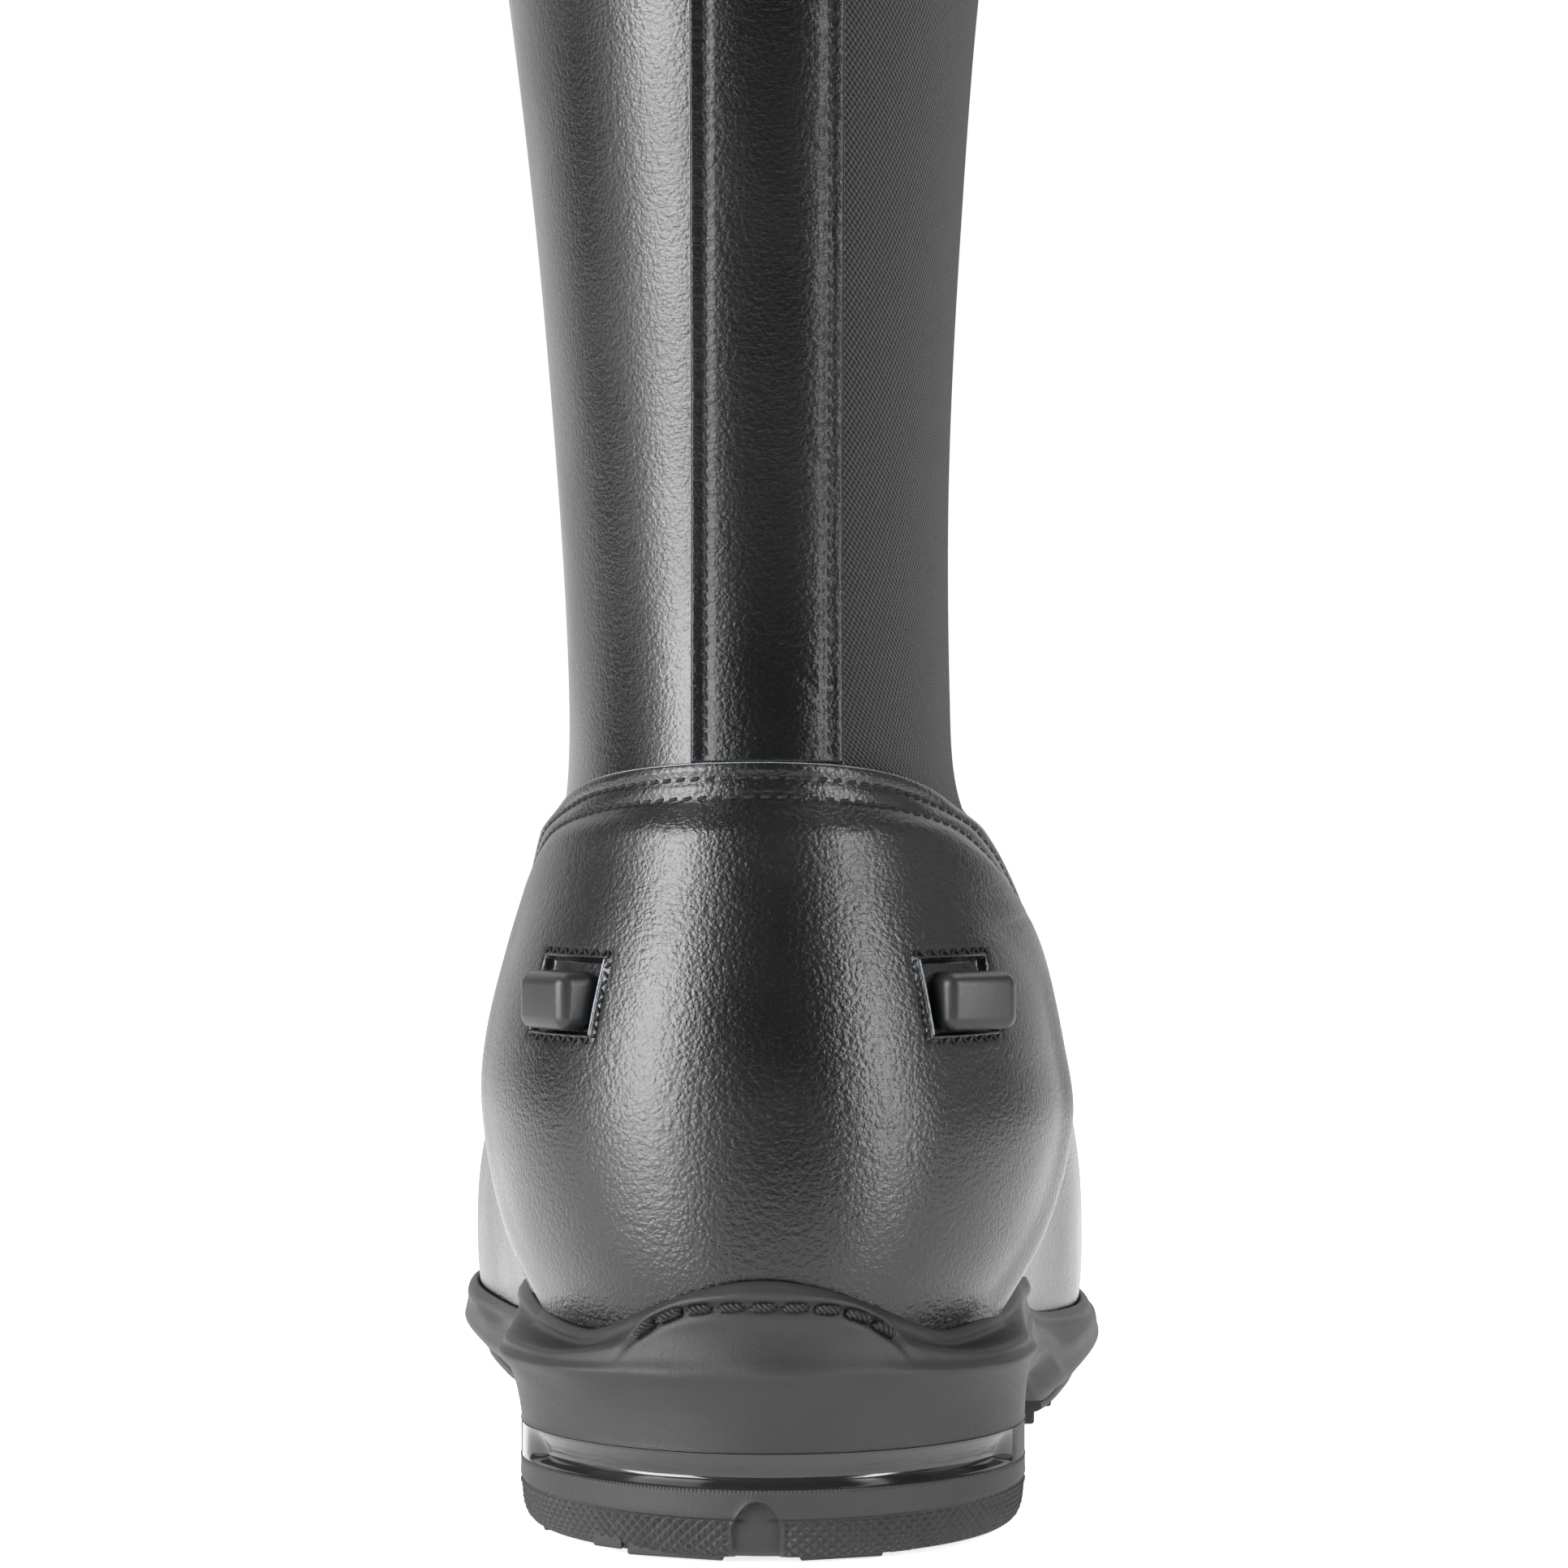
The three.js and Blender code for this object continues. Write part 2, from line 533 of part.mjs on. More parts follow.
// The top of the vamp: the middle of the instep, or the throat seam where that lies lower.
function vampTop(ray) {
  let [low, high] = [0, Math.PI / 2];
  const above = (angle) => { const { point } = ray(angle); return point.z > throatLine(point.y); };
  if (!above(high)) return high;
  for (let i = 0; i < 16; i += 1) {
    const middle = (low + high) / 2;
    if (above(middle)) high = middle; else low = middle;
  }
  return low;
}

// Sections of the foot's leather along each side; the toe has its own fan of them.
const FOOT_SECTIONS = [10, 22, 34, 46, 58, 70, 82, 94, 106, 118, 130, 142, 154, 168, 183];
const TOE_FAN = 12;
const FOOT_COLUMNS = 9;

function footPiece({ from, top, layer, low }) {
  const inner = FOOT_SECTIONS.filter((y) => y >= from).map((y) => y / TOE_CENTRE_Y);
  const outer = [...inner].reverse().map((u) => 3 - u);
  const toe = Array.from({ length: TOE_FAN + 1 }, (_, i) => 1 + i / TOE_FAN);
  const hits = [...inner, ...toe, ...outer].map((u) => Array.from({ length: FOOT_COLUMNS + 1 }, (_, j) =>
    footWall(u, j / FOOT_COLUMNS, top, low)));
  return layered(hits, layer);
}

const WING_START_Y = FOOT_SECTIONS[0];
const VAMP_LINING_START_Y = 94;
const TOE_PUFF_START_Y = 168;
const cupInner = (y) => lipSide(y) - CUP_TUCK;

function footLeathers() {
  const ridge = () => Math.PI / 2;
  const liningLow = (y) => cupInner(y) + 1.5;
  add('vamp', footPiece({ from: WING_START_Y, top: vampTop, layer: VAMP_LAYER, low: cupInner }),
    LEATHER_BLACK);
  add('toe_puff', footPiece({ from: TOE_PUFF_START_Y, top: ridge, layer: PUFF_LAYER, low: cupInner }),
    { color: 0x8d8676, roughness: 0.8 });
  add('vamp_lining', footPiece({ from: VAMP_LINING_START_Y, top: ridge, layer: LINING, low: liningLow }),
    { color: 0x2b2b2d, roughness: 0.85 });
}

// ---------------------------------------------------------------- heel counter and spur rests

const counterEdge = curve([[24, 0.86], [32, 1.06], [42, 1.27], [54, 1.43], [66, 1.5], [100, 1.5]]);
// The counter's arched top, by -1 to 1 round the heel: it falls further on the outer side.
const counterTop = (f) => COUNTER_TOP_Z - (f < 0 ? 15 : 27) * f * f;
const heelLow = (theta) => 24.5 + 1.5 * Math.cos(theta);

// A patch round the back of the heel between two edge angles, from a bottom line up to a top line.
function heelPatch({ edge, bottom, top, layer, rows, columns, sink = () => 0 }) {
  const hits = grid(rows, columns, (f, g) => {
    const side = 2 * f - 1;
    const z = mix(bottom(side), top(side), g);
    const hit = legWall(side * edge(z), z);
    return { ...hit, point: offset(hit, -sink(z)) };
  });
  return layered(hits, layer);
}

// The counter drops onto the shaft above the pieces that it covers.
const counterSink = (z) => 1.15 * smooth((z - 97) / 5);

function spurFrame(side) {
  const away = (theta) => legWall(theta, SPUR_REST_Z).point.x * side;
  let [low, high] = [0, 1.4];
  for (let i = 0; i < 20; i += 1) {
    const middle = (low + high) / 2;
    if (away(middle * side) < SPUR_REST_X - 2.5) low = middle; else high = middle;
  }
  const hit = legWall(low * side, SPUR_REST_Z);
  const out = hit.normal.clone().setZ(0).normalize();
  const up = new THREE.Vector3(0, 0, 1);
  const frame = frameAt(hit.point, new THREE.Vector3().crossVectors(up, out), up, out);
  return { frame, lean: hit.normal.z / Math.hypot(hit.normal.x, hit.normal.y) };
}

function heelCounter() {
  let counter = heelPatch({ edge: counterEdge, bottom: heelLow, top: counterTop, layer: COUNTER_LAYER,
    rows: 24, columns: 16, sink: counterSink });
  for (const side of [-1, 1]) {
    const { frame, lean } = spurFrame(side);
    const [wide, high] = SPUR_WINDOW;
    counter = cut(counter, boxIn(frame, [-wide / 2, -high / 2, -4], [wide / 2, high / 2, 8]));
    spurRest(side, frame, lean);
  }
  add('heel_counter', counter, LEATHER_BLACK);
  add('counter_stiffener', heelPatch({
    edge: (z) => Math.atan2(legWall(1.1, z).point.x, LEG_AXIS_Y - WING_START_Y) - 0.09,
    bottom: heelLow, top: () => SHAFT_FOOT_Z - 2, layer: STIFFENER_LAYER, rows: 16, columns: 7 }),
  { color: 0xa39a86, roughness: 0.7 });
  add('heel_lining', heelPatch({ edge: () => 1.7, bottom: (f) => 28.5 - Math.abs(f), top: () => 89,
    layer: LINING, rows: 18, columns: 6 }), { color: 0x2b2b2d, roughness: 0.85 });
}

// The block's back follows the heel's lean; its upper face is level. The part inside the window is a
// narrower neck, so the whole upper face stands clear of the leather and a spur can lie on it.
function spurRest(side, frame, lean) {
  const [half, high] = [SPUR_REST_LENGTH / 2, SPUR_REST_HEIGHT / 2];
  const loop = (shrink, at) => [[-1, -1], [1, -1], [1, 1], [-1, 1]].flatMap(([a, b]) => {
    const corner = 1.2;
    const [x, y] = [a * (half - shrink), b * (high - shrink)];
    const flip = a * b > 0;
    const points = [[x, y - b * corner], [x - a * corner, y]];
    return (flip ? points : points.reverse()).map(([px, py]) =>
      new THREE.Vector3(px, py, at(py)).applyMatrix4(frame));
  });
  const stand = COUNTER_LAYER[1] + SPUR_REST_STAND;
  const name = side < 0 ? 'spur_rest_medial' : 'spur_rest_lateral';
  const { inset, clear, step } = SPUR_NECK;
  const shoulder = COUNTER_LAYER[1] + clear;
  add(name, stack([loop(inset, (y) => 2 - y * lean), loop(inset, () => shoulder),
    loop(0, () => shoulder + step), loop(0, () => stand - 1), loop(1, () => stand)]), RUBBER);
}

// ---------------------------------------------------------------- sole unit

// Half width of the sole unit from its centre line, in the direction that the perimeter points.
function soleReach({ centre, side, turn, out }) {
  if (side) return side < 0 ? soleMedial(centre.y) : soleLateral(centre.y);
  if (centre.y === 0) return mix(soleLateral(0), soleMedial(0), turn / Math.PI);
  const across = out.x < 0 ? soleMedial(TOE_CENTRE_Y) : soleLateral(TOE_CENTRE_Y);
  return ((Math.abs(out.x) / across) ** TOE_ROUNDNESS
    + (out.y / (TOE_TIP_Y - TOE_CENTRE_Y)) ** TOE_ROUNDNESS) ** (-1 / TOE_ROUNDNESS);
}

function lipHeight(u) {
  const { centre, out, turn, side } = perimeter(u);
  if (side || centre.y > 0) return lipSide(centre.y + Math.max(out.y, 0) * 50);
  const away = Math.abs(turn - Math.PI / 2);
  const tab = smooth(1 - away / HEEL_TAB.width);
  const rear = mix(HEEL_TAB.valley, lipSide(0), smooth((away - 1) / 0.55));
  return mix(rear, HEEL_TAB.crest, tab);
}

const seat = curve([[-40, 21], [30, 20.5], [60, 17], [90, 11.5], [120, 9], [200, 9], [230, 10.5], [257, 13]]);
const soleBottom = curve([[-40, CUP_HEEL_BOTTOM_Z], [HEEL_BREAST_Y - 9, CUP_HEEL_BOTTOM_Z],
  [HEEL_BREAST_Y + 0.6, CUP_HEEL_BOTTOM_Z], [HEEL_BREAST_Y + 9, WAIST_BOTTOM_Z], [72, WAIST_BOTTOM_Z - 1],
  [TREAD_START_Y, FOREFOOT_BOTTOM_Z], [100, FOREFOOT_BOTTOM_Z],
  [200, FOREFOOT_BOTTOM_Z], [230, FOREFOOT_BOTTOM_Z + 2], [257, FOREFOOT_BOTTOM_Z + 7]]);
const SIDE_STATIONS = [0, 12, 24, HEEL_BREAST_Y + 0.5, HEEL_BREAST_Y + 9, 58, 72, TREAD_START_Y, 100, 118,
  136, 154, 172, 186];

// Stations all round the foot, with the heel's front edge and the waist's ends among them.
function perimeterStations(toe, heel) {
  const sides = SIDE_STATIONS.map((y) => y / TOE_CENTRE_Y);
  const round = (start, count) => Array.from({ length: count }, (_, i) => start + i / count);
  const back = [...sides.slice(1).map((u) => 3 - u)].reverse();
  return [...sides, ...round(1, toe), 2, ...back, ...round(3, heel)];
}

// Where the outside of the upper stands at a height, along a perimeter direction.
function upperReach(u, z, layer) {
  const { centre, out } = perimeter(u);
  const origin = new THREE.Vector3(centre.x, centre.y, z);
  return leave(origin, out).point.sub(origin).length() + layer;
}

function midsoleCup() {
  const section = (u) => {
    const at = perimeter(u);
    const reach = soleReach(at);
    const y = at.centre.y + at.out.y * reach;
    const [lip, floor, base] = [lipHeight(u), seat(y), soleBottom(y)];
    const clear = (z) => Math.min(upperReach(u, Math.max(z, floor + 1), layer), reach - 1.6);
    const point = (distance, z) => at.centre.clone().addScaledVector(at.out, distance).setZ(z);
    const heel = smooth((HEEL_BREAST_Y + 20 - at.centre.y) / 30);
    const layer = mix(VAMP_LAYER[1], COUNTER_LAYER[1], smooth((42 - at.centre.y) / 14)) + 2 * GAP;
    const ridge = mix(base + 5, 26, heel);
    const outer = [
      point(clear(lip) + 1.1, lip),
      point(Math.min(clear(lip) + 2.4, reach - 0.4), lip - 1),
      point(reach, Math.max(ridge, base + 3.5)),
      point(reach - mix(6, 1.4, heel), base),
    ];
    const inner = [floor + 0.6, (floor + lip) / 2, lip - 0.6].map((z) => point(clear(z), z));
    return [point(0, seat(at.centre.y)), point(clear(floor + 1) - 0.4, floor), ...inner, ...outer,
      point(0, soleBottom(at.centre.y))];
  };
  const stations = perimeterStations(12, 18);
  const rows = stations.map(section);
  const vertices = rows.flat();
  const columns = rows[0].length;
  const triangles = [];
  rows.forEach((_, i) => {
    const next = (i + 1) % rows.length;
    for (let j = 0; j < columns - 1; j += 1) {
      const [a, b] = [i * columns + j, next * columns + j];
      triangles.push([a, b, b + 1], [a, b + 1, a + 1]);
    }
  });
  add('midsole_cup', solid(vertices, triangles), RUBBER);
}

// The heel's plan loop at a height, pulled in from the sole unit's wall, with a straight breast.
function heelLoop(z, pull) {
  const points = [];
  const side = (x, t) => points.push(new THREE.Vector3(x, mix(HEEL_BREAST_Y, 0, t), z));
  for (let i = 0; i <= 3; i += 1) side(soleLateral(0) - pull, i / 3);
  for (let i = 1; i < 18; i += 1) {
    const turn = Math.PI * i / 18;
    const reach = mix(soleLateral(0), soleMedial(0), i / 18) - pull;
    points.push(new THREE.Vector3(Math.cos(turn) * reach, -Math.sin(turn) * reach, z));
  }
  for (let i = 3; i >= 0; i -= 1) side(-soleMedial(0) + pull, i / 3);
  return points;
}

function lug(x, y, wide, long) {
  const box = new THREE.BoxGeometry(wide, long, LUG_HEIGHT + 1);
  return box.translate(x, y, (LUG_HEIGHT + 1) / 2);
}

function heelPieces() {
  const middle = (CUSHION_Z[0] + CUSHION_Z[1]) / 2;
  add('heel_cushion', stack([heelLoop(CUSHION_Z[0], 1.5), heelLoop(middle, 3), heelLoop(CUSHION_Z[1], 1.5)]),
    { color: 0x1a1a1c, roughness: 0.12 });
  const arch = new THREE.Shape();
  arch.moveTo(-5.2, -1);
  arch.lineTo(-5.2, 3);
  arch.absarc(0, 5, 3.3, Math.PI, 0, true);
  arch.lineTo(5.2, 3);
  arch.lineTo(5.2, -1);
  const notch = new THREE.ExtrudeGeometry(arch, { depth: 10, bevelEnabled: false, curveSegments: 8 })
    .rotateX(Math.PI / 2).translate(0, HEEL_BACK_Y + 9, 0);
  const block = stack([heelLoop(LUG_HEIGHT, 4.6), heelLoop(4.2, 2), heelLoop(9.8, 1.3)]);
  const lugs = [lug(0, 0, 26, 22), lug(0, -24, 20, 10), lug(-23, -8, 11, 26), lug(23, -8, 11, 26),
    lug(-20, 24, 18, 12), lug(20, 24, 18, 12)];
  add('heel_tread', cut(joined(block, ...lugs), notch), RUBBER);
}

// A flat-lying plate that follows the sole's outline, pulled in from it, between two height lines.
function plate({ from, to, pull, low, high, rows }) {
  const rim = (x, y) => {
    const past = Math.max(y - TOE_CENTRE_Y, -y, 0);
    const reach = y > 0 ? TOE_TIP_Y - TOE_CENTRE_Y - pull : HEEL_RADIUS - pull;
    return x * Math.max(1 - (past / reach) ** 2.1, 0.01) ** (1 / 2.1);
  };
  const at = (height) => (f, g) => {
    const y = mix(from, to, f);
    const inside = Math.min(Math.max(y, 0), TOE_CENTRE_Y);
    const [left, right] = [rim(soleMedial(inside) - pull, y), rim(soleLateral(inside) - pull, y)];
    return new THREE.Vector3(footCentre(y) + mix(-left, right, g), y, height(y));
  };
  return wall(grid(rows, 4, at(high)), grid(rows, 4, at(low)));
}

function treads() {
  const rise = (y) => soleBottom(y) - GAP;
  const low = (y) => Math.max(soleBottom(y) - 2.6, LUG_HEIGHT);
  const body = plate({ from: TREAD_START_Y + 2, to: TOE_TIP_Y - 8, pull: 5, low, high: rise, rows: 16 });
  const lugs = [];
  for (const y of [97, 117, 137, 157, 177]) {
    const [left, right] = [soleMedial(y) - 8, soleLateral(y) - 8];
    lugs.push(lug(-left + 8, y, 16, 12), lug(right - 8, y, 16, 12), lug((right - left) / 2, y, 22, 12));
  }
  add('forefoot_tread', joined(body, ...lugs), RUBBER);
}

function insidePlates() {
  const lift = (by) => (y) => seat(y) + by;
  add('insole_board', plate({ from: -25, to: 238, pull: 12.5, low: lift(2), high: lift(3.6), rows: 20 }),
    { color: 0x8a6b45, roughness: 0.9 });
  add('footbed', plate({ from: -23, to: 236, pull: 14, low: lift(4), high: lift(7.2), rows: 20 }),
    { color: 0x2a2a2c, roughness: 0.95 });
  const shank = grid(8, 1, (f, g) => {
    const y = mix(-12, 96, f);
    return new THREE.Vector3(mix(-7, 7, g), y, seat(y));
  });
  const raised = (by) => shank.map((row) => row.map((p) => p.clone().setZ(p.z + by)));
  add('shank', wall(raised(1.6), raised(0.4)), METAL);
}

// The thick thread sewn through the heel tab, following its crest.
function heelThread() {
  const points = [];
  for (let i = -6; i <= 6; i += 1) {
    const away = i / 6;
    const turn = Math.PI / 2 + away * THREAD.halfAngle;
    const z = THREAD.crest - 3.6 * away ** 4 - 0.8 * away ** 2;
    const reach = HEEL_RADIUS + THREAD.stand;
    points.push(new THREE.Vector3(Math.cos(turn) * reach, -Math.sin(turn) * reach, z));
  }
  const ring = new THREE.Shape().absarc(0, 0, THREAD.radius, 0, 2 * Math.PI);
  const extrudePath = new THREE.CatmullRomCurve3(points);
  const options = { steps: 24, extrudePath, curveSegments: 4, bevelEnabled: false };
  add('heel_thread', new THREE.ExtrudeGeometry(ring, options), { color: 0x202022, roughness: 0.6 });
}

shaftPanels();
topBinding();
zip();
snapTab();
footLeathers();
heelCounter();
midsoleCup();
heelPieces();
treads();
insidePlates();
heelThread();

export default boot;
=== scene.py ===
"""Looks of the tall riding boot: smooth leather, woven elastic, rubber sole unit, stitches and zip."""
import json
import math

import bmesh
import bpy
import numpy as np
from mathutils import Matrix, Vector

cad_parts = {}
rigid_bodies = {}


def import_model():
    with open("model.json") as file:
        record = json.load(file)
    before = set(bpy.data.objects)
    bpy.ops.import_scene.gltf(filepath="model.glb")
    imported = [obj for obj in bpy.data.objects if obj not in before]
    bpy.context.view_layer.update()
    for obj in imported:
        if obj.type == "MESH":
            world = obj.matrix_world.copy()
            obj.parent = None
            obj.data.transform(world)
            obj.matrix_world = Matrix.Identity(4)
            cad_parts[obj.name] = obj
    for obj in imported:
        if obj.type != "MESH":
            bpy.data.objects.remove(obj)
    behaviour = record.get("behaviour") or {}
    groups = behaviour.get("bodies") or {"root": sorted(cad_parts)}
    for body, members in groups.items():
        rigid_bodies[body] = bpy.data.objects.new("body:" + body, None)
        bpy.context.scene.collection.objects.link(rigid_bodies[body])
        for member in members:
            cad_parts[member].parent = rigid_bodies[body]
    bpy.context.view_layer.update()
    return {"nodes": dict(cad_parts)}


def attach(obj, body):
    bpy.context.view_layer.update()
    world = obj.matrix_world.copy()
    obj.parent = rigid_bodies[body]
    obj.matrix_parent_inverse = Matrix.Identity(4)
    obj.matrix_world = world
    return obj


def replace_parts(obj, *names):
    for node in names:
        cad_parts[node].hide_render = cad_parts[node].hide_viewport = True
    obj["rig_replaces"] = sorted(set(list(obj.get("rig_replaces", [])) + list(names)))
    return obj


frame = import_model()

# Lengths below are in millimetres until a mesh is made. +Y is the toe, +X the outer side.
LEG_AXIS_Y = 30.0
TOE_Y = 198.0
TIP_Y = 257.0
PI = math.pi
GAP = 0.35
ELASTIC_FRONT = 1.86
ZIP_OPENING_HALF = 7
SEAM_INSETS = (2.2, 4.8)
TAB_Z = (438.0, 452.0)
HEEL_BREAST_Y = 36
HEEL_HALF = 37.9
HEEL_SIDE = 0.2
ARCH_X = -0.9
LUG_HEIGHT = 3.4

# Layers of the upper, as [inner, outer] distances from the shaft's outside face.
SHAFT_LAYER = (-1.4, 0)
LINING_LAYER = (-3.7, -2.7)
TAPE_LAYER = (-2.4, -1.7)
STRIP_LAYER = (-0.2, 1.25)
VAMP_LAYER = (0.55, 1.5)
COUNTER_LAYER = (1.2, 2.9)
TAB_BASE_LAYER = (0.3, 1.5)
TAB_LAYER = (1.9, 3.1)


def curve(points):
    """A smooth curve through [at, value] points, level beyond both ends."""
    x = np.array([p[0] for p in points], float)
    v = np.array([p[1] for p in points], float)
    m = np.zeros(len(x))
    m[1:-1] = (v[2:] - v[:-2]) / (x[2:] - x[:-2])

    def at(q):
        q = np.clip(np.asarray(q, float), x[0], x[-1])
        i = np.clip(np.searchsorted(x, q, side="right") - 1, 0, len(x) - 2)
        h = x[i + 1] - x[i]
        t = (q - x[i]) / h
        return ((1 + 2 * t) * (1 - t) ** 2 * v[i] + t * (1 - t) ** 2 * h * m[i]
                + t * t * (3 - 2 * t) * v[i + 1] + t * t * (t - 1) * h * m[i + 1])
    return at


def smooth(t):
    c = np.clip(t, 0, 1)
    return c * c * (3 - 2 * c)


def mix(a, b, t):
    return a + (b - a) * t


def unit(v):
    return v / np.linalg.norm(v, axis=-1, keepdims=True)


def bell(x, at, width):
    return np.exp(-((x - at) / width) ** 2)


medial_half = curve([[20, 28], [30, 31.2], [42, 36.2], [58, 38.9], [68, 38.2], [80, 35.3], [95, 31], [106, 29.3],
                     [122, 29.3], [150, 31], [186, 34.1], [222, 38.3], [270, 45], [320, 51], [370, 53],
                     [420, 51.5], [475, 50]])
lateral_half = curve([[20, 30], [30, 33], [42, 39], [56, 42], [66, 40.6], [80, 37.4], [92, 33.2], [104, 28.6],
                      [118, 27.5], [150, 27.4], [186, 29], [222, 31.8], [270, 38], [320, 44], [370, 47],
                      [420, 47.5], [475, 47]])
back_line = curve([[20, -30], [40, -32.6], [56, -32.4], [74, -29.5], [92, -24.6], [108, -20.6], [126, -18.4],
                   [150, -19], [200, -26], [260, -36], [320, -42], [380, -38.5], [440, -31.5], [475, -30]])
front_line = curve([[20, 50], [80, 60], [104, 72], [130, 77], [170, 76.5], [222, 79], [300, 84], [400, 86],
                    [475, 86]])
foot_centre = curve([[60, 0], [130, -1], [198, -6]])
foot_medial = curve([[-40, 20], [30, 23], [60, 31], [90, 36.5], [120, 42], [150, 47], [175, 46.5], [198, 42]])
foot_lateral = curve([[-40, 20], [30, 25], [60, 36], [90, 43.5], [120, 52], [145, 55.4], [170, 55.5], [198, 51]])
instep = curve([[-40, 60], [40, 92], [70, 106], [90, 104], [110, 96], [135, 83], [165, 70], [200, 59], [230, 51],
                [260, 44]])
foot_waist = curve([[-40, 30], [60, 30], [120, 26], [260, 24]])
sole_medial = curve([[0, 37.4], [35, 36.4], [65, 36.8], [95, 41], [130, 48.6], [165, 51], [198, 46.5]])
sole_lateral = curve([[0, 38.4], [35, 40.4], [65, 43.6], [100, 52.5], [145, 60.2], [170, 61], [198, 56]])
throat_line = curve([[10, 94], [30, 96], [60, 110], [92, 126]])
lip_side = curve([[-5, 29.5], [20, 31.5], [45, 29], [80, 20], [115, 16.4], [150, 15.6], [200, 16], [257, 19]])
seat = curve([[-40, 21], [30, 20.5], [60, 17], [90, 11.5], [120, 9], [200, 9], [230, 10.5], [257, 13]])
sole_bottom = curve([[-40, 14.9], [27, 14.9], [36.6, 14.9], [45, 11], [72, 10], [84, 4.8], [100, 4.8], [200, 4.8],
                     [230, 6.8], [257, 11.8]])
counter_edge = curve([[24, 0.86], [32, 1.06], [42, 1.27], [54, 1.43], [66, 1.5], [100, 1.5]])

ZIP_LOW = np.array([-20.3, 66.5, 130.0])
ZIP_HIGH = np.array([-39, 67.8, 450.0])
ZIP_UP = unit(ZIP_HIGH - ZIP_LOW)
ZIP_ACROSS = unit(np.cross(ZIP_UP, [-0.8, 0.6, 0]))
ZIP_OUT = np.cross(ZIP_ACROSS, ZIP_UP)


# ---------------------------------------------------------------- the upper's outside face

def zip_at(z):
    t = ((np.asarray(z, float) - 130) / 320)[..., None]
    return ZIP_LOW + (ZIP_HIGH - ZIP_LOW) * t


def zip_angle(z):
    p = zip_at(z)
    return np.arctan2(p[..., 0], LEG_AXIS_Y - p[..., 1])


def leg_radius(theta, z):
    s, c = np.sin(theta), np.cos(theta)
    side = np.where(s > 0, lateral_half(z), medial_half(z))
    reach = np.where(c > 0, LEG_AXIS_Y - back_line(z), front_line(z) - LEG_AXIS_Y)
    oval = ((np.abs(s) / side) ** 2.2 + (np.abs(c) / reach) ** 2.2) ** (-1 / 2.2)
    away = np.abs(theta - zip_angle(z))
    away = np.where(away > PI, 2 * PI - away, away)
    hold = smooth((0.65 - away) / 0.5) * smooth((z - 110) / 20)
    axis = np.stack([np.zeros_like(z), np.full_like(z, LEG_AXIS_Y), z], -1)
    slant = s * ZIP_OUT[0] - c * ZIP_OUT[1]
    flat = ((zip_at(z) - axis) @ ZIP_OUT) / np.where(np.abs(slant) < 0.2, 0.2, slant)
    return mix(oval, flat, np.where(away < 0.65, hold, 0))


def upper_distance(p):
    x, y, z = p[..., 0], p[..., 1], p[..., 2]
    leg = np.hypot(x, LEG_AXIS_Y - y) - leg_radius(np.arctan2(x, LEG_AXIS_Y - y), z)
    yy = np.minimum(y, TOE_Y)
    dx = x - foot_centre(yy)
    across = np.abs(dx) / np.where(dx > 0, foot_lateral(yy), foot_medial(yy))
    past = np.maximum(y - TOE_Y, 0)
    plan = (across ** 2.15 + (past / 54) ** 2.15) ** (1 / 2.15)
    waist = foot_waist(y)
    rise = np.where(z > waist, (z - waist) / (instep(y) - waist), (waist - z) / (waist + 14))
    q = (plan ** 2.5 + rise ** 2.5) ** 0.4
    span = np.sqrt(dx * dx + past * past + (z - waist) ** 2)
    foot = np.where(q < 0.01, -20, span * (1 - 1 / np.maximum(q, 0.01))) + np.maximum(30 - y, 0)
    blend = np.maximum(22 - np.abs(leg - foot), 0) / 22
    return np.minimum(leg, foot) - blend * blend * 5.5


def leave(origin, direction):
    """Where rays from inside leave the upper, and the outward normals there."""
    near = np.zeros(origin.shape[:-1])
    far = np.full(origin.shape[:-1], 170.0)
    for _ in range(24):
        half = (near + far) / 2
        inside = upper_distance(origin + direction * half[..., None]) < 0
        near, far = np.where(inside, half, near), np.where(inside, far, half)
    point = origin + direction * near[..., None]
    normal = np.stack([upper_distance(point + e) - upper_distance(point - e) for e in np.eye(3) * 0.05], -1)
    return point, unit(normal)


def leg_wall(theta, z):
    theta, z = np.broadcast_arrays(np.asarray(theta, float), np.asarray(z, float))
    direction = np.stack([np.sin(theta), -np.cos(theta), np.zeros_like(z)], -1)
    origin = np.stack([np.zeros_like(z), np.full_like(z, LEG_AXIS_Y), z], -1)
    return leave(origin, direction)


def back_angle(x):
    return lambda z: np.arctan2(x, LEG_AXIS_Y - back_line(z))


def beside_zip(d):
    return lambda z: zip_angle(z) + d / leg_radius(zip_angle(z), np.asarray(z, float))


def always(value):
    return lambda q: np.full_like(np.asarray(q, float), value)

def shaft_top(theta):
    return 460 + 12 * np.cos(theta - 2.4)


def shaft_foot(theta):
    return mix(92, 118, smooth((np.abs(theta) - 1.5) / 1.4))


# ---------------------------------------------------------------- materials

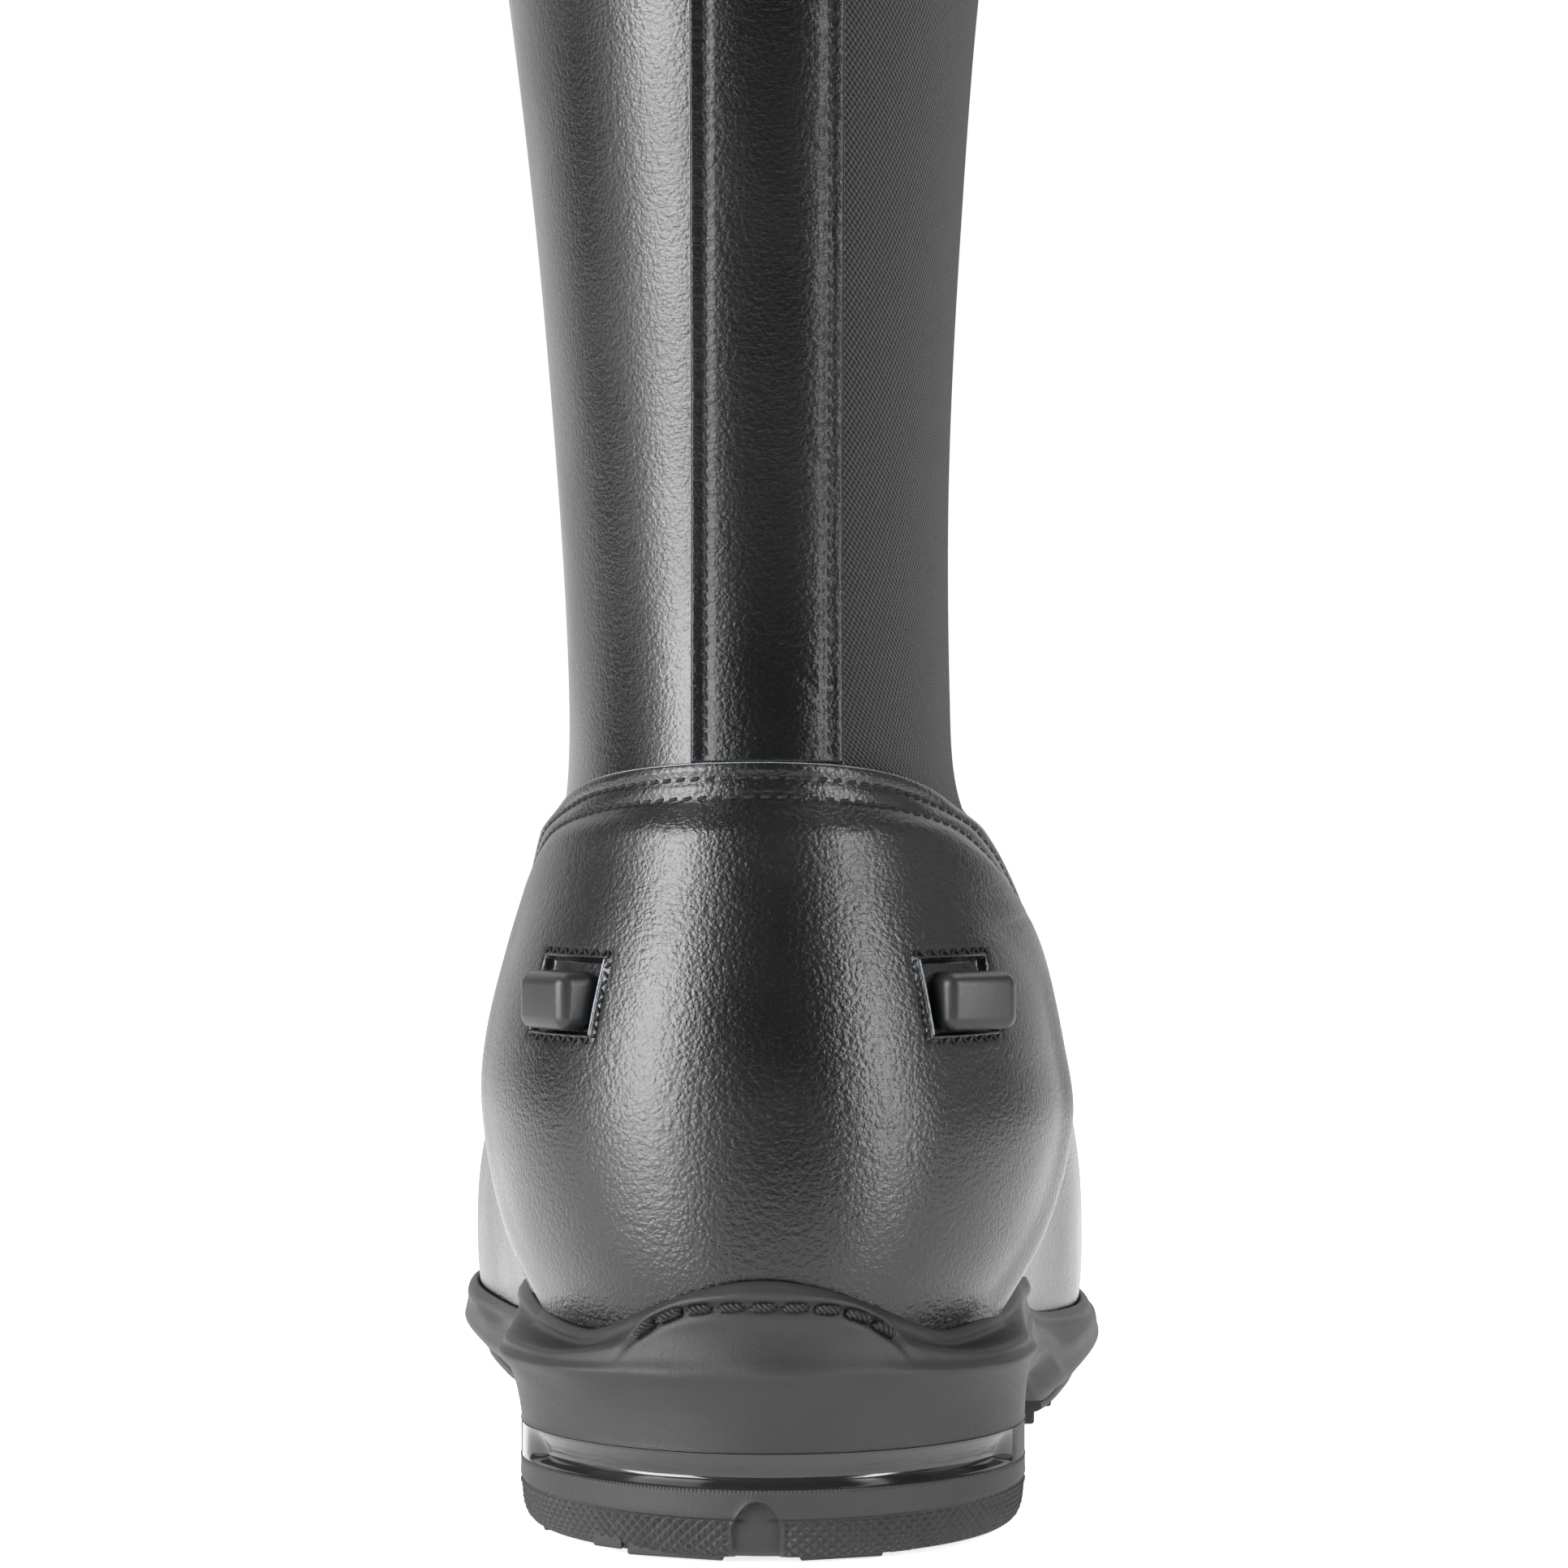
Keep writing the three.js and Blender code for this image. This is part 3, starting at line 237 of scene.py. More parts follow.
class Nodes:
    """A short way to write a material's node tree."""

    def __init__(self, name):
        self.material = bpy.data.materials.new(name)
        self.material.use_nodes = True
        self.tree = self.material.node_tree
        self.shader = self.tree.nodes["Principled BSDF"]

    def node(self, kind, **inputs):
        n = self.tree.nodes.new(kind)
        for key, value in inputs.items():
            if hasattr(n, key) and key not in ("location", "color"):
                setattr(n, key, value)
            else:
                self.put(n.inputs[key.replace("_", " ")], value)
        return n

    def put(self, socket, value):
        if isinstance(value, bpy.types.NodeSocket):
            self.tree.links.new(value, socket)
        else:
            socket.default_value = value

    def math(self, operation, *values):
        n = self.tree.nodes.new("ShaderNodeMath")
        n.operation = operation
        for i, value in enumerate(values):
            self.put(n.inputs[i], value)
        return n.outputs[0]

    def place(self, scale):
        """The object's own coordinates, times a scale per metre."""
        coords = self.tree.nodes.new("ShaderNodeTexCoord")
        return self.scaled(coords.outputs["Object"], scale)

    def scaled(self, vector, scale):
        n = self.tree.nodes.new("ShaderNodeVectorMath")
        n.operation = "MULTIPLY"
        self.put(n.inputs[0], vector)
        n.inputs[1].default_value = scale if isinstance(scale, tuple) else (scale,) * 3
        return n.outputs[0]

    def noise(self, vector, scale, detail=2.0, roughness=0.5):
        n = self.node("ShaderNodeTexNoise", Scale=scale, Detail=detail, Roughness=roughness)
        self.put(n.inputs["Vector"], vector)
        return n.outputs["Fac"]

    def cells(self, vector, scale):
        n = self.node("ShaderNodeTexVoronoi", Scale=scale)
        self.put(n.inputs["Vector"], vector)
        return n.outputs["Distance"]

    def ramp(self, value, low, high, to_low=0.0, to_high=1.0):
        n = self.node("ShaderNodeMapRange")
        for key, v in zip(("Value", "From Min", "From Max", "To Min", "To Max"), (value, low, high, to_low, to_high)):
            self.put(n.inputs[key], v)
        return n.outputs[0]

    def colour(self, factor, a, b):
        n = self.tree.nodes.new("ShaderNodeMix")
        n.data_type = "RGBA"
        self.put(n.inputs[0], factor)
        n.inputs[6].default_value = (*a, 1)
        n.inputs[7].default_value = (*b, 1)
        return n.outputs[2]

    def bump(self, height, distance, strength=1.0, normal=None):
        n = self.tree.nodes.new("ShaderNodeBump")
        n.inputs["Distance"].default_value = distance
        n.inputs["Strength"].default_value = strength
        self.put(n.inputs["Height"], height)
        if normal is not None:
            self.put(n.inputs["Normal"], normal)
        return n.outputs[0]

    def finish(self, colour, roughness, normal=None, **constants):
        s = self.shader.inputs
        if isinstance(colour, tuple):
            s["Base Color"].default_value = (*colour, 1)
        else:
            self.put(s["Base Color"], colour)
        self.put(s["Roughness"], roughness)
        if normal is not None:
            self.put(s["Normal"], normal)
        for key, value in constants.items():
            s[key.replace("_", " ")].default_value = value
        return self.material


def grey(v, warm=0.0):
    return (v * (1 + warm), v, v * (1 - warm))


def leather(name, tone=0.0040, rough=0.26, grain=1.0, crease=1.0, cell=1.5, level=0.5):
    n = Nodes(name)
    mm = n.place(1000.0)
    warped = n.node("ShaderNodeVectorMath", operation="ADD")
    n.put(warped.inputs[0], mm)
    drift = n.node("ShaderNodeTexNoise", Scale=0.9, Detail=2.0)
    n.put(drift.inputs["Vector"], mm)
    n.put(warped.inputs[1], drift.outputs["Color"])
    pebble = n.cells(warped.outputs[0], cell)
    pebble = n.math("MULTIPLY", pebble, -1.0)
    fine = n.noise(mm, 3.6, 3.0, 0.6)
    fold = n.noise(n.scaled(mm, (0.35, 0.35, 1.0)), 0.9, 4.0, 0.62)
    fold = n.math("ABSOLUTE", n.math("SUBTRACT", fold, 0.5))
    broad = n.noise(mm, 0.035, 3.0)
    b1 = n.bump(fold, 0.00024 * crease, 0.6)
    b2 = n.bump(fine, 0.00006 * grain, 0.5, b1)
    b3 = n.bump(pebble, 0.00008 * grain, 0.7, b2)
    shine = n.ramp(broad, 0.3, 0.7, rough - 0.05, rough + 0.06)
    shine = n.math("ADD", shine, n.ramp(fine, 0.3, 0.7, -0.03, 0.03))
    tint = n.colour(n.ramp(broad, 0.3, 0.7), grey(tone * 0.85, -0.04), grey(tone * 1.2, -0.05))
    return n.finish(tint, shine, b3, IOR=1.5, Specular_IOR_Level=level)


def raw_edge(name, tone=0.34):
    n = Nodes(name)
    mm = n.place(1000.0)
    fuzz = n.noise(mm, 2.5, 4.0, 0.7)
    tint = n.colour(n.ramp(fuzz, 0.3, 0.7), grey(tone * 0.4, -0.12), grey(tone, -0.15))
    return n.finish(tint, 0.75, n.bump(fuzz, 0.0002, 0.8))


def rubber(name, tone=0.016, rough=0.52, speck=1.0):
    n = Nodes(name)
    mm = n.place(1000.0)
    fine = n.noise(mm, 3.0, 3.0, 0.7)
    broad = n.noise(mm, 0.08, 3.0)
    tint = n.colour(n.ramp(broad, 0.3, 0.7), grey(tone * 0.9, -0.02), grey(tone * 1.12, -0.03))
    shine = n.ramp(fine, 0.35, 0.65, rough - 0.06, rough + 0.06)
    return n.finish(tint, shine, n.bump(fine, 0.00012 * speck, 0.6), IOR=1.5, Specular_IOR_Level=0.34)


def gloss(name):
    n = Nodes(name)
    mm = n.place(1000.0)
    fine = n.noise(n.scaled(mm, (0.2, 0.2, 1.0)), 1.6, 2.0)
    shine = n.ramp(n.noise(mm, 0.3, 3.0), 0.3, 0.7, 0.10, 0.20)
    return n.finish(grey(0.012, -0.02), shine, n.bump(fine, 0.00004, 0.5), IOR=1.5, Coat_Weight=0.2,
                    Coat_Roughness=0.06)


def woven(name, tone=0.020):
    """Elastic webbing: thick ribs across, wrapped by fine warp, on the piece's own map in metres."""
    n = Nodes(name)
    coords = n.tree.nodes.new("ShaderNodeTexCoord")
    split = n.tree.nodes.new("ShaderNodeSeparateXYZ")
    n.put(split.inputs[0], n.scaled(coords.outputs["UV"], 1000.0))
    jitter = n.noise(n.scaled(coords.outputs["UV"], 1000.0), 0.8, 2.0)
    u = n.math("ADD", n.math("MULTIPLY", split.outputs[0], 2 * PI / 0.92), n.math("MULTIPLY", jitter, 1.6))
    v = n.math("ADD", n.math("MULTIPLY", split.outputs[1], 2 * PI / 0.80), n.math("MULTIPLY", jitter, 1.2))
    a = n.math("SINE", n.math("ADD", u, v))
    b = n.math("SINE", n.math("SUBTRACT", u, n.math("MULTIPLY", v, 0.5)))
    height = n.math("ADD", n.math("MULTIPLY", a, 0.6), n.math("MULTIPLY", b, 0.4))
    height = n.math("ADD", height, n.math("MULTIPLY", n.noise(n.place(1000.0), 5.0, 3.0, 0.7), 0.9))
    # The colour follows the weave's height: painted shade darkens the hollows between the threads and a painted
    # highlight lightens the ribs.
    tint = n.colour(n.ramp(height, -0.3, 1.2), grey(tone * 0.15, -0.02), grey(tone * 2.6, -0.02))
    return n.finish(tint, 0.82, n.bump(height, 0.00030, 1.0), IOR=1.45, Specular_IOR_Level=0.3, Sheen_Weight=0.08,
                    Sheen_Roughness=0.5)


def thread(name, tone=0.006, rough=0.68):
    n = Nodes(name)
    mm = n.place(1000.0)
    strands = n.noise(n.scaled(mm, (2.0, 2.0, 7.0)), 1.4, 2.0)
    tint = n.colour(n.ramp(strands, 0.35, 0.65), grey(tone * 0.5), grey(tone * 2.2, -0.05))
    return n.finish(tint, rough, n.bump(strands, 0.00008, 0.7), IOR=1.45,
                    Specular_IOR_Level=0.3)


def metal(name, tone=0.22, rough=0.26):
    n = Nodes(name)
    mm = n.place(1000.0)
    scratch = n.noise(n.scaled(mm, (1.0, 1.0, 6.0)), 1.0, 3.0)
    tint = n.colour(scratch, grey(tone * 0.9), grey(tone * 1.1))
    return n.finish(tint, n.ramp(scratch, 0.3, 0.7, rough - 0.06, rough + 0.1), n.bump(scratch, 0.00002, 0.4),
                    Metallic=1.0)


def board(name, colour):
    n = Nodes(name)
    mm = n.place(1000.0)
    fibre = n.noise(n.scaled(mm, (1.0, 0.3, 1.0)), 1.4, 4.0, 0.65)
    dark = tuple(c * 0.75 for c in colour)
    return n.finish(n.colour(n.ramp(fibre, 0.3, 0.7), dark, colour), 0.88, n.bump(fibre, 0.0002, 0.6))


LEATHER = leather("shaft_leather")
STRIP_LEATHER = leather("strip_leather", level=0.24, rough=0.27, grain=1.0, crease=1.3)
COUNTER_LEATHER = leather("counter_leather", rough=0.28, grain=1.2, crease=0.9, cell=1.4)
LINING = leather("lining_leather", tone=0.022, rough=0.62, grain=0.6, crease=0.4, cell=1.4)
RAW = raw_edge("cut_leather_edge")
ELASTIC = woven("elastic_weave")
RUBBER = rubber("sole_rubber")
TREAD = rubber("tread_rubber", tone=0.018, rough=0.56)
BLOCK = rubber("moulded_rubber", tone=0.016, rough=0.36, speck=0.4)
CUSHION = gloss("cushion_gloss")
THREAD = thread("leather_thread")
SOLE_THREAD = thread("sole_thread", tone=0.010, rough=0.5)
TAPE = woven("zip_tape_weave", tone=0.012)
COIL = rubber("zip_polyamide", tone=0.016, rough=0.36, speck=0.3)
METAL = metal("zip_metal")
STIFF = board("stiffener_fibre", (0.36, 0.32, 0.25))
BOARD = board("insole_fibre", (0.26, 0.15, 0.07))
FELT = board("footbed_felt", (0.03, 0.03, 0.032))
STEEL = metal("shank_steel", tone=0.4, rough=0.35)


# ---------------------------------------------------------------- meshes

def linked(name, data):
    o = bpy.data.objects.new(name, data)
    bpy.context.collection.objects.link(o)
    return o

def make(name, vertices, faces, materials, body="boot", replaces=(), slot=None, indices=None, uv=None, crisp=None):
    """An object from millimetre vertices. Faces turn to face outward."""
    vertices = np.asarray(vertices, float)
    faces = np.asarray(faces, int)
    a, b, c = (vertices[faces[:, i]] for i in range(3))
    d = vertices[faces[:, -1]]
    volume = (a * np.cross(b, c)).sum() + ((a * np.cross(c, d)).sum() if faces.shape[1] == 4 else 0)
    if volume < 0:
        faces = faces[:, ::-1]
    mesh = bpy.data.meshes.new(name)
    mesh.from_pydata((vertices / 1000).tolist(), [], faces.tolist())
    mesh.polygons.foreach_set("use_smooth", np.ones(len(faces), bool))
    for m in materials if isinstance(materials, (list, tuple)) else [materials]:
        mesh.materials.append(m)
    if indices is not None:
        mesh.polygons.foreach_set("material_index", np.asarray(indices, np.int32))
    if uv is not None:
        layer = mesh.uv_layers.new(name="UVMap")
        loops = np.zeros(len(mesh.loops), np.int32)
        mesh.loops.foreach_get("vertex_index", loops)
        layer.data.foreach_set("uv", (np.asarray(uv)[loops] / 1000).ravel().astype(np.float32))
    if crisp:
        mesh.set_sharp_from_angle(angle=math.radians(crisp))
    mesh.validate()
    o = linked(name, mesh)
    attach(o, body)
    if replaces:
        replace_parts(o, *([replaces] if isinstance(replaces, str) else replaces))
    return o


def quads(rows, columns, loop_rows=False, loop_columns=False):
    i = np.arange(rows if loop_rows else rows - 1)[:, None]
    j = np.arange(columns if loop_columns else columns - 1)[None, :]
    i2, j2 = (i + 1) % rows, (j + 1) % columns
    return np.stack(np.broadcast_arrays(i * columns + j, i2 * columns + j, i2 * columns + j2, i * columns + j2),
                    -1).reshape(-1, 4)


def gaps(grid, axis):
    step = np.linalg.norm(np.diff(grid, axis=axis), axis=-1)
    pad = [(1, 0), (0, 0)] if axis == 0 else [(0, 0), (1, 0)]
    return np.pad(np.cumsum(step, axis=axis), pad)


def stations(length, step, edge=0.9):
    """0..1 with finer steps at both ends, to carry a rounded edge."""
    fine = np.array([0, 0.08, 0.2, 0.36, 0.56, 0.8]) * edge / length
    count = max(int((length - 2 * edge) / step), 2)
    return np.concatenate([fine, np.linspace(edge / length, 1 - edge / length, count), 1 - fine[::-1]])


def shell(outer, inner):
    """Vertices and faces of the closed sheet between two grids: outside, inside, then the rim."""
    rows, columns = outer.shape[:2]
    n = rows * columns
    face = quads(rows, columns)
    i, j = np.arange(rows - 1), np.arange(columns - 1)
    rim = []
    for at in (0, columns - 1):
        a, b = i * columns + at, (i + 1) * columns + at
        rim.append(np.stack([a, b, b + n, a + n] if at else [a, a + n, b + n, b], -1))
    for at in (0, rows - 1):
        a, b = at * columns + j, at * columns + j + 1
        rim.append(np.stack([a, a + n, b + n, b] if at else [a, b, b + n, a + n], -1))
    return (np.concatenate([outer.reshape(-1, 3), inner.reshape(-1, 3)]),
            np.concatenate([face, face[:, ::-1] + n, *rim]))

def sheet(name, point, normal, layer, materials, relief=0.0, edge=0.9, drop=0.8, raw=0.0, raw_sides="LRBT", **keys):
    """A closed sheet over a grid of points: rows run across (left to right), columns run up.
    Its edges round over; where raw is set, the outermost millimetres of the sides named show the second material."""
    across, up = gaps(point, 0), gaps(point, 1)
    sides = {"L": across, "R": across[-1:] - across, "B": up, "T": up[:, -1:] - up}
    near = np.minimum.reduce(list(sides.values()))
    thick = layer[1] - layer[0]
    inset = np.clip(1 - near / edge, 0, 1)
    roll = (1 - np.sqrt(1 - inset ** 2)) * thick * drop
    vertices, faces = shell(point + normal * (layer[1] + relief - roll)[..., None], point + normal * layer[0])
    rows, columns = point.shape[:2]
    count = (rows - 1) * (columns - 1)
    indices = np.zeros(len(faces), int)
    if raw:
        margin = np.minimum.reduce([sides[s] for s in raw_sides]).ravel()
        indices[:count] = margin[faces[:count]].mean(1) < raw
        indices[2 * count:] = 1
    uv = np.stack([across - across[rows // 2], point[..., 2]], -1).reshape(-1, 2)
    return make(name, vertices, faces, materials, indices=indices, uv=np.concatenate([uv, uv]), **keys)

def leg_grid(start, end, bottom, top, step, edge=0.9):
    """Points of the leg between two edge lines and two heights, with angles and heights."""
    f = stations(abs(float(end(260.0) - start(260.0))) * 50, step, edge)
    g = stations(350.0, step, edge)
    low = bottom(mix(start(92.0), end(92.0), f))[:, None]
    high = top(mix(start(460.0), end(460.0), f))[:, None]
    z = mix(low, high, g[None, :])
    theta = mix(start(z), end(z), f[:, None])
    point, normal = leg_wall(theta, z)
    return theta, z, point, normal


def joined(parts):
    vertices, faces, base = [], [], 0
    for v, f in parts:
        vertices.append(v)
        faces.append(f + base)
        base += len(v)
    return np.concatenate(vertices), np.concatenate(faces)


def resample(path, step):
    length = np.concatenate([[0], np.cumsum(np.linalg.norm(np.diff(path[:, :3], axis=0), axis=1))])
    count = max(int(length[-1] / step), 2)
    at = np.linspace(0, length[-1], count + 1)
    return np.stack([np.interp(at, length, path[:, k]) for k in range(path.shape[1])], -1)


def stitches(name, point, normal, pitch=2.6, gap=0.45, radius=0.3, lift=0.12, sink=0.5, slant=0.0, zigzag=0.0,
             plies=1, material=None, body="boot", slot=None, seed=3):
    """A row of separate stitches along a path on a surface; each one dives in at its ends."""
    path = resample(np.concatenate([point, normal], 1), pitch / 12)
    p, n = path[:, :3], unit(path[:, 3:])
    t = unit(np.gradient(p, axis=0))
    side = np.cross(n, t)
    total = len(p) // 12
    rng = np.random.default_rng(seed)
    steps, ring = (9 if plies == 1 else 15), (8 if plies == 1 else 7)
    f = np.linspace(0, 1, steps)
    parts = []
    for k in range(total):
        lo, hi = k * 12 + 12 * gap / pitch / 2, (k + 1) * 12 - 12 * gap / pitch / 2
        at = mix(lo, hi, f)
        i = np.clip(at, 0, len(p) - 1.001)
        a, w = i.astype(int), (i % 1)[:, None]
        b = np.minimum(a + 1, len(p) - 1)
        c, cn, ct, cs = (mix(q[a], q[b], w) for q in (p, n, t, side))
        arch = 1 - (2 * f - 1) ** 4
        lean = slant + rng.normal(0, 0.03) + (zigzag if k % 2 else -zigzag)
        c = c + cn * (lift - sink * (1 - arch))[:, None] + cs * (lean * (2 * f - 1))[:, None]
        swell = (0.62 + 0.38 * np.sqrt(np.clip(arch, 0, 1)))[:, None]
        for s in range(plies):
            helix = 0 if plies == 1 else 0.48 * radius
            turn = 2 * PI * (s / plies + 1.6 * f)
            own = c + (cn * np.sin(turn)[:, None] + cs * np.cos(turn)[:, None]) * helix
            size = radius * (1 if plies == 1 else 0.62)
            angle = np.linspace(0, 2 * PI, ring, endpoint=False)
            v = (own[:, None] + (cn[:, None] * np.sin(angle)[None, :, None] * 0.85
                                 + cs[:, None] * np.cos(angle)[None, :, None]) * (size * swell)[:, None])
            caps = np.stack([own[0] - ct[0] * size * 0.4, own[-1] + ct[-1] * size * 0.4])
            faces = quads(steps, ring, loop_columns=True)
            j = np.arange(ring)
            j2 = (j + 1) % ring
            m = steps * ring
            end = (steps - 1) * ring
            tips = np.concatenate([np.stack([np.full(ring, m), j, j2, j2], -1),
                                   np.stack([np.full(ring, m + 1), end + j2, end + j, end + j], -1)])
            parts.append((np.concatenate([v.reshape(-1, 3), caps]), np.concatenate([faces, tips])))
    v, f = joined(parts)
    mesh_faces = [list(dict.fromkeys(q)) for q in f.tolist()]
    mesh = bpy.data.meshes.new(name)
    mesh.from_pydata((v / 1000).tolist(), [], mesh_faces)
    mesh.polygons.foreach_set("use_smooth", np.ones(len(mesh_faces), bool))
    mesh.materials.append(material or THREAD)
    o = linked(name, mesh)
    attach(o, body)
    return o


def leg_seam(name, theta, z, height, **keys):
    """A row of stitches at a height over the leg's face."""
    point, normal = leg_wall(theta, z)
    stitches(name, point + normal * height, normal, **keys)

def round_box(size, radius, cuts=5):
    """A box of that size about its own middle, its edges rounded by the radius."""
    half = np.array(size) / 2
    radius = min(radius, half.min() * 0.98)
    faces, vertices, base = [], [], 0
    for axis in range(3):
        for sign in (-1, 1):
            k = [a for a in range(3) if a != axis]
            lines = []
            for a in k:
                arc = half[a] - radius + radius * np.sin(np.linspace(0, PI / 4, cuts))
                lines.append(np.unique(np.round(np.concatenate([-arc, arc]), 6)))
            q = np.zeros((len(lines[0]), len(lines[1]), 3))
            q[..., k[0]], q[..., k[1]] = np.meshgrid(*lines, indexing="ij")
            q[..., axis] = sign * half[axis]
            flat_core = np.clip(q, -(half - radius), half - radius)
            out = q - flat_core
            # Points of the arc are already on the rounding along their own axis.
            for a in k:
                slope = np.arcsin(np.clip(np.abs(out[..., a]) / radius, 0, 1))
                out[..., a] = np.sign(out[..., a]) * radius * np.tan(slope)
            q = flat_core + unit(out) * radius
            f = quads(len(lines[0]), len(lines[1]))
            faces.append((f if sign > 0 else f[:, ::-1]) + base)
            vertices.append(q.reshape(-1, 3))
            base += q.shape[0] * q.shape[1]
    return np.concatenate(vertices), np.concatenate(faces)


def merged(o, distance=0.00001):
    """Joins the seams between an object's patches."""
    b = bmesh.new()
    b.from_mesh(o.data)
    bmesh.ops.remove_doubles(b, verts=b.verts, dist=distance)
    bmesh.ops.recalc_face_normals(b, faces=b.faces)
    b.to_mesh(o.data)
    b.free()


# ---------------------------------------------------------------- shaft

def ripple(theta, z, seed, size=0.25):
    """The slow unevenness of leather pulled over a last."""
    rng = np.random.default_rng(seed)
    total = np.zeros_like(z)
    for _ in range(10):
        a, b, c = rng.normal(0, 3.5), rng.normal(0, 0.045), rng.uniform(0, 2 * PI)
        total += np.sin(a * theta + b * z + c)
    return total * size / 10


def shaft():
    front_edge = lambda q: ELASTIC_FRONT + GAP / leg_radius(ELASTIC_FRONT, np.asarray(q, float))
    round_to = lambda d: lambda q: beside_zip(d)(q) + 2 * PI
    for name, node, slot, start, end, bottom, layer, material, uneven, step in (
            ("shaft_medial", "medial_shaft_panel", "upper_leather", beside_zip(ZIP_OPENING_HALF), back_angle(-5.2),
             shaft_foot, SHAFT_LAYER, LEATHER, (1, 0.25), 1.5),
            ("shaft_elastic", "elastic_panel", "elastic_fabric", back_angle(6.1), always(ELASTIC_FRONT), shaft_foot,
             SHAFT_LAYER, ELASTIC, (2, 0.2), 1.5),
            ("shaft_front", "front_shaft_panel", "upper_leather", front_edge, round_to(-ZIP_OPENING_HALF),
             shaft_foot, (SHAFT_LAYER[0], 0.25), LEATHER, (3, 0.25), 1.5),
            ("shaft_lining_leather", "shaft_lining", "lining_leather", beside_zip(15), round_to(-15), shaft_foot,
             LINING_LAYER, LINING, None, 3),
            ("zip_guard_leather", "zip_guard", "lining_leather", beside_zip(-14.6), beside_zip(14.6), always(119.0),
             LINING_LAYER, LINING, None, 2)):
        theta, z, p, n = leg_grid(start, end, bottom, shaft_top, step)
        relief = ripple(theta, z, *uneven) if uneven else 0.0
        sheet(name, p, n, layer, material, relief=relief, replaces=node, slot=slot)

STRIP = (-10.2, 11.1)
STRIP_ROWS = (-7.9, 8.7)
STRIP_SINK = 0.34
STRIP_FOOT_Z = 107.5


def strip_crease(x, z):
    """Short slanting creases that run up and inward from the outer row of stitches."""
    total = np.zeros_like(z)
    rng = np.random.default_rng(11)
    for z0 in np.concatenate([rng.uniform(110, 150, 9), rng.uniform(150, 440, 18)]):
        slope, length = rng.uniform(0.8, 1.5), rng.uniform(3, 7)
        from_row = STRIP_ROWS[1] - x
        line = z - z0 - slope * from_row - 0.08 * from_row ** 2
        along = smooth(from_row / 1.0) * (1 - smooth((from_row - length * 0.3) / length))
        total -= rng.uniform(0.05, 0.14) * bell(line, 0, 0.55) * along
    return total


def strip_dome(x):
    """The strip is padded: it falls away to the inner side and lies nearly flat on the outer side."""
    return 0.55 - 0.55 * (np.maximum(3.0 - x, 0) / 13.5) ** 2 - 0.08 * (np.maximum(x - 4.0, 0) / 7.0) ** 2


def strip():
    theta, z, p, n = leg_grid(back_angle(STRIP[0]), back_angle(STRIP[1]), always(STRIP_FOOT_Z), shaft_top, 0.55,
                              0.6)
    x = np.tan(theta) * (LEG_AXIS_Y - back_line(z))
    dome = strip_dome(x)
    rows = -STRIP_SINK * (bell(x, STRIP_ROWS[0], 0.55) + bell(x, STRIP_ROWS[1], 0.55))
    pinch = 0.06 * np.sin(2 * PI * z / 2.5) * (bell(x, STRIP_ROWS[0], 1.0) + bell(x, STRIP_ROWS[1], 1.0))
    margin = 0.42 * smooth((STRIP_ROWS[0] - x) / 2.2) + 0.10 * smooth((x - STRIP_ROWS[1]) / 2.2)
    relief = dome + rows + pinch + margin + strip_crease(x, z) + ripple(theta * 4, z, 7, 0.25)
    sheet("back_strip_leather", p, n, STRIP_LAYER, [STRIP_LEATHER, RAW], relief=relief, edge=0.6, drop=0.85,
          raw=0.30, raw_sides="LR", replaces="back_strip", slot="upper_leather")
    for name, x in (("strip_seam_inner", STRIP_ROWS[0]), ("strip_seam_outer", STRIP_ROWS[1])):
        z = np.arange(108.5, 448, 0.6)
        height = STRIP_LAYER[1] + float(strip_dome(x)) - STRIP_SINK
        leg_seam(name, back_angle(x)(z), z, height, pitch=1.9, gap=0.28, radius=0.27, lift=0.04, slant=0.2)


def top_edge():
    f = np.linspace(0, 1, 260)
    start, end = beside_zip(ZIP_OPENING_HALF)(460.0), beside_zip(-ZIP_OPENING_HALF)(460.0) + 2 * PI
    theta = mix(start, end, f)
    base = shaft_top(theta)
    loop = [(0.6, -6.0), (0.75, -4.5), (0.8, 0), (0.6, 2.0), (-0.3, 3.0), (-2.0, 3.2), (-3.6, 2.6), (-3.9, 1.0),
            (-3.9, -4.0), (-3.8, -6.0)]
    loop = np.array(loop)
    rows = []
    for out, rise in loop:
        pt, nm = leg_wall(theta, base + rise)
        rows.append(pt + nm * out)
    grid = np.stack(rows, 1)
    faces = quads(len(f), len(loop), loop_columns=True)
    caps = np.array([[0, 1, 8, 9], [1, 2, 7, 8], [2, 3, 6, 7], [3, 4, 5, 6]])
    last = (len(f) - 1) * len(loop)
    make("top_binding_leather", grid.reshape(-1, 3), np.concatenate([faces, caps, caps[:, ::-1] + last]), LEATHER,
         replaces="top_binding", slot="upper_leather", crisp=60)
    leg_seam("top_binding_seam", theta, base - 4.2, 0.75, radius=0.28, lift=0.05)


def front_seams():
    for k, inset in enumerate(SEAM_INSETS):
        z = np.arange(122, 462, 1.0)
        theta = ELASTIC_FRONT + inset / leg_radius(np.full_like(z, ELASTIC_FRONT), z)
        leg_seam(f"elastic_seam_{k + 1}", theta, z, 0.22, radius=0.27, lift=0.08)
    for name, inset in (("front", -9.2), ("rear", 9.2)):
        z = np.arange(128, 446, 1.0)
        leg_seam(f"zip_seam_{name}", beside_zip(inset)(z), z, 0.22 if inset < 0 else 0.0, radius=0.27, lift=0.08)

# ---------------------------------------------------------------- zip and snap tab

def in_zip(v):
    """Points given across, up and out from the zip's lower end."""
    return ZIP_LOW + v @ np.stack([ZIP_ACROSS, ZIP_UP, ZIP_OUT])

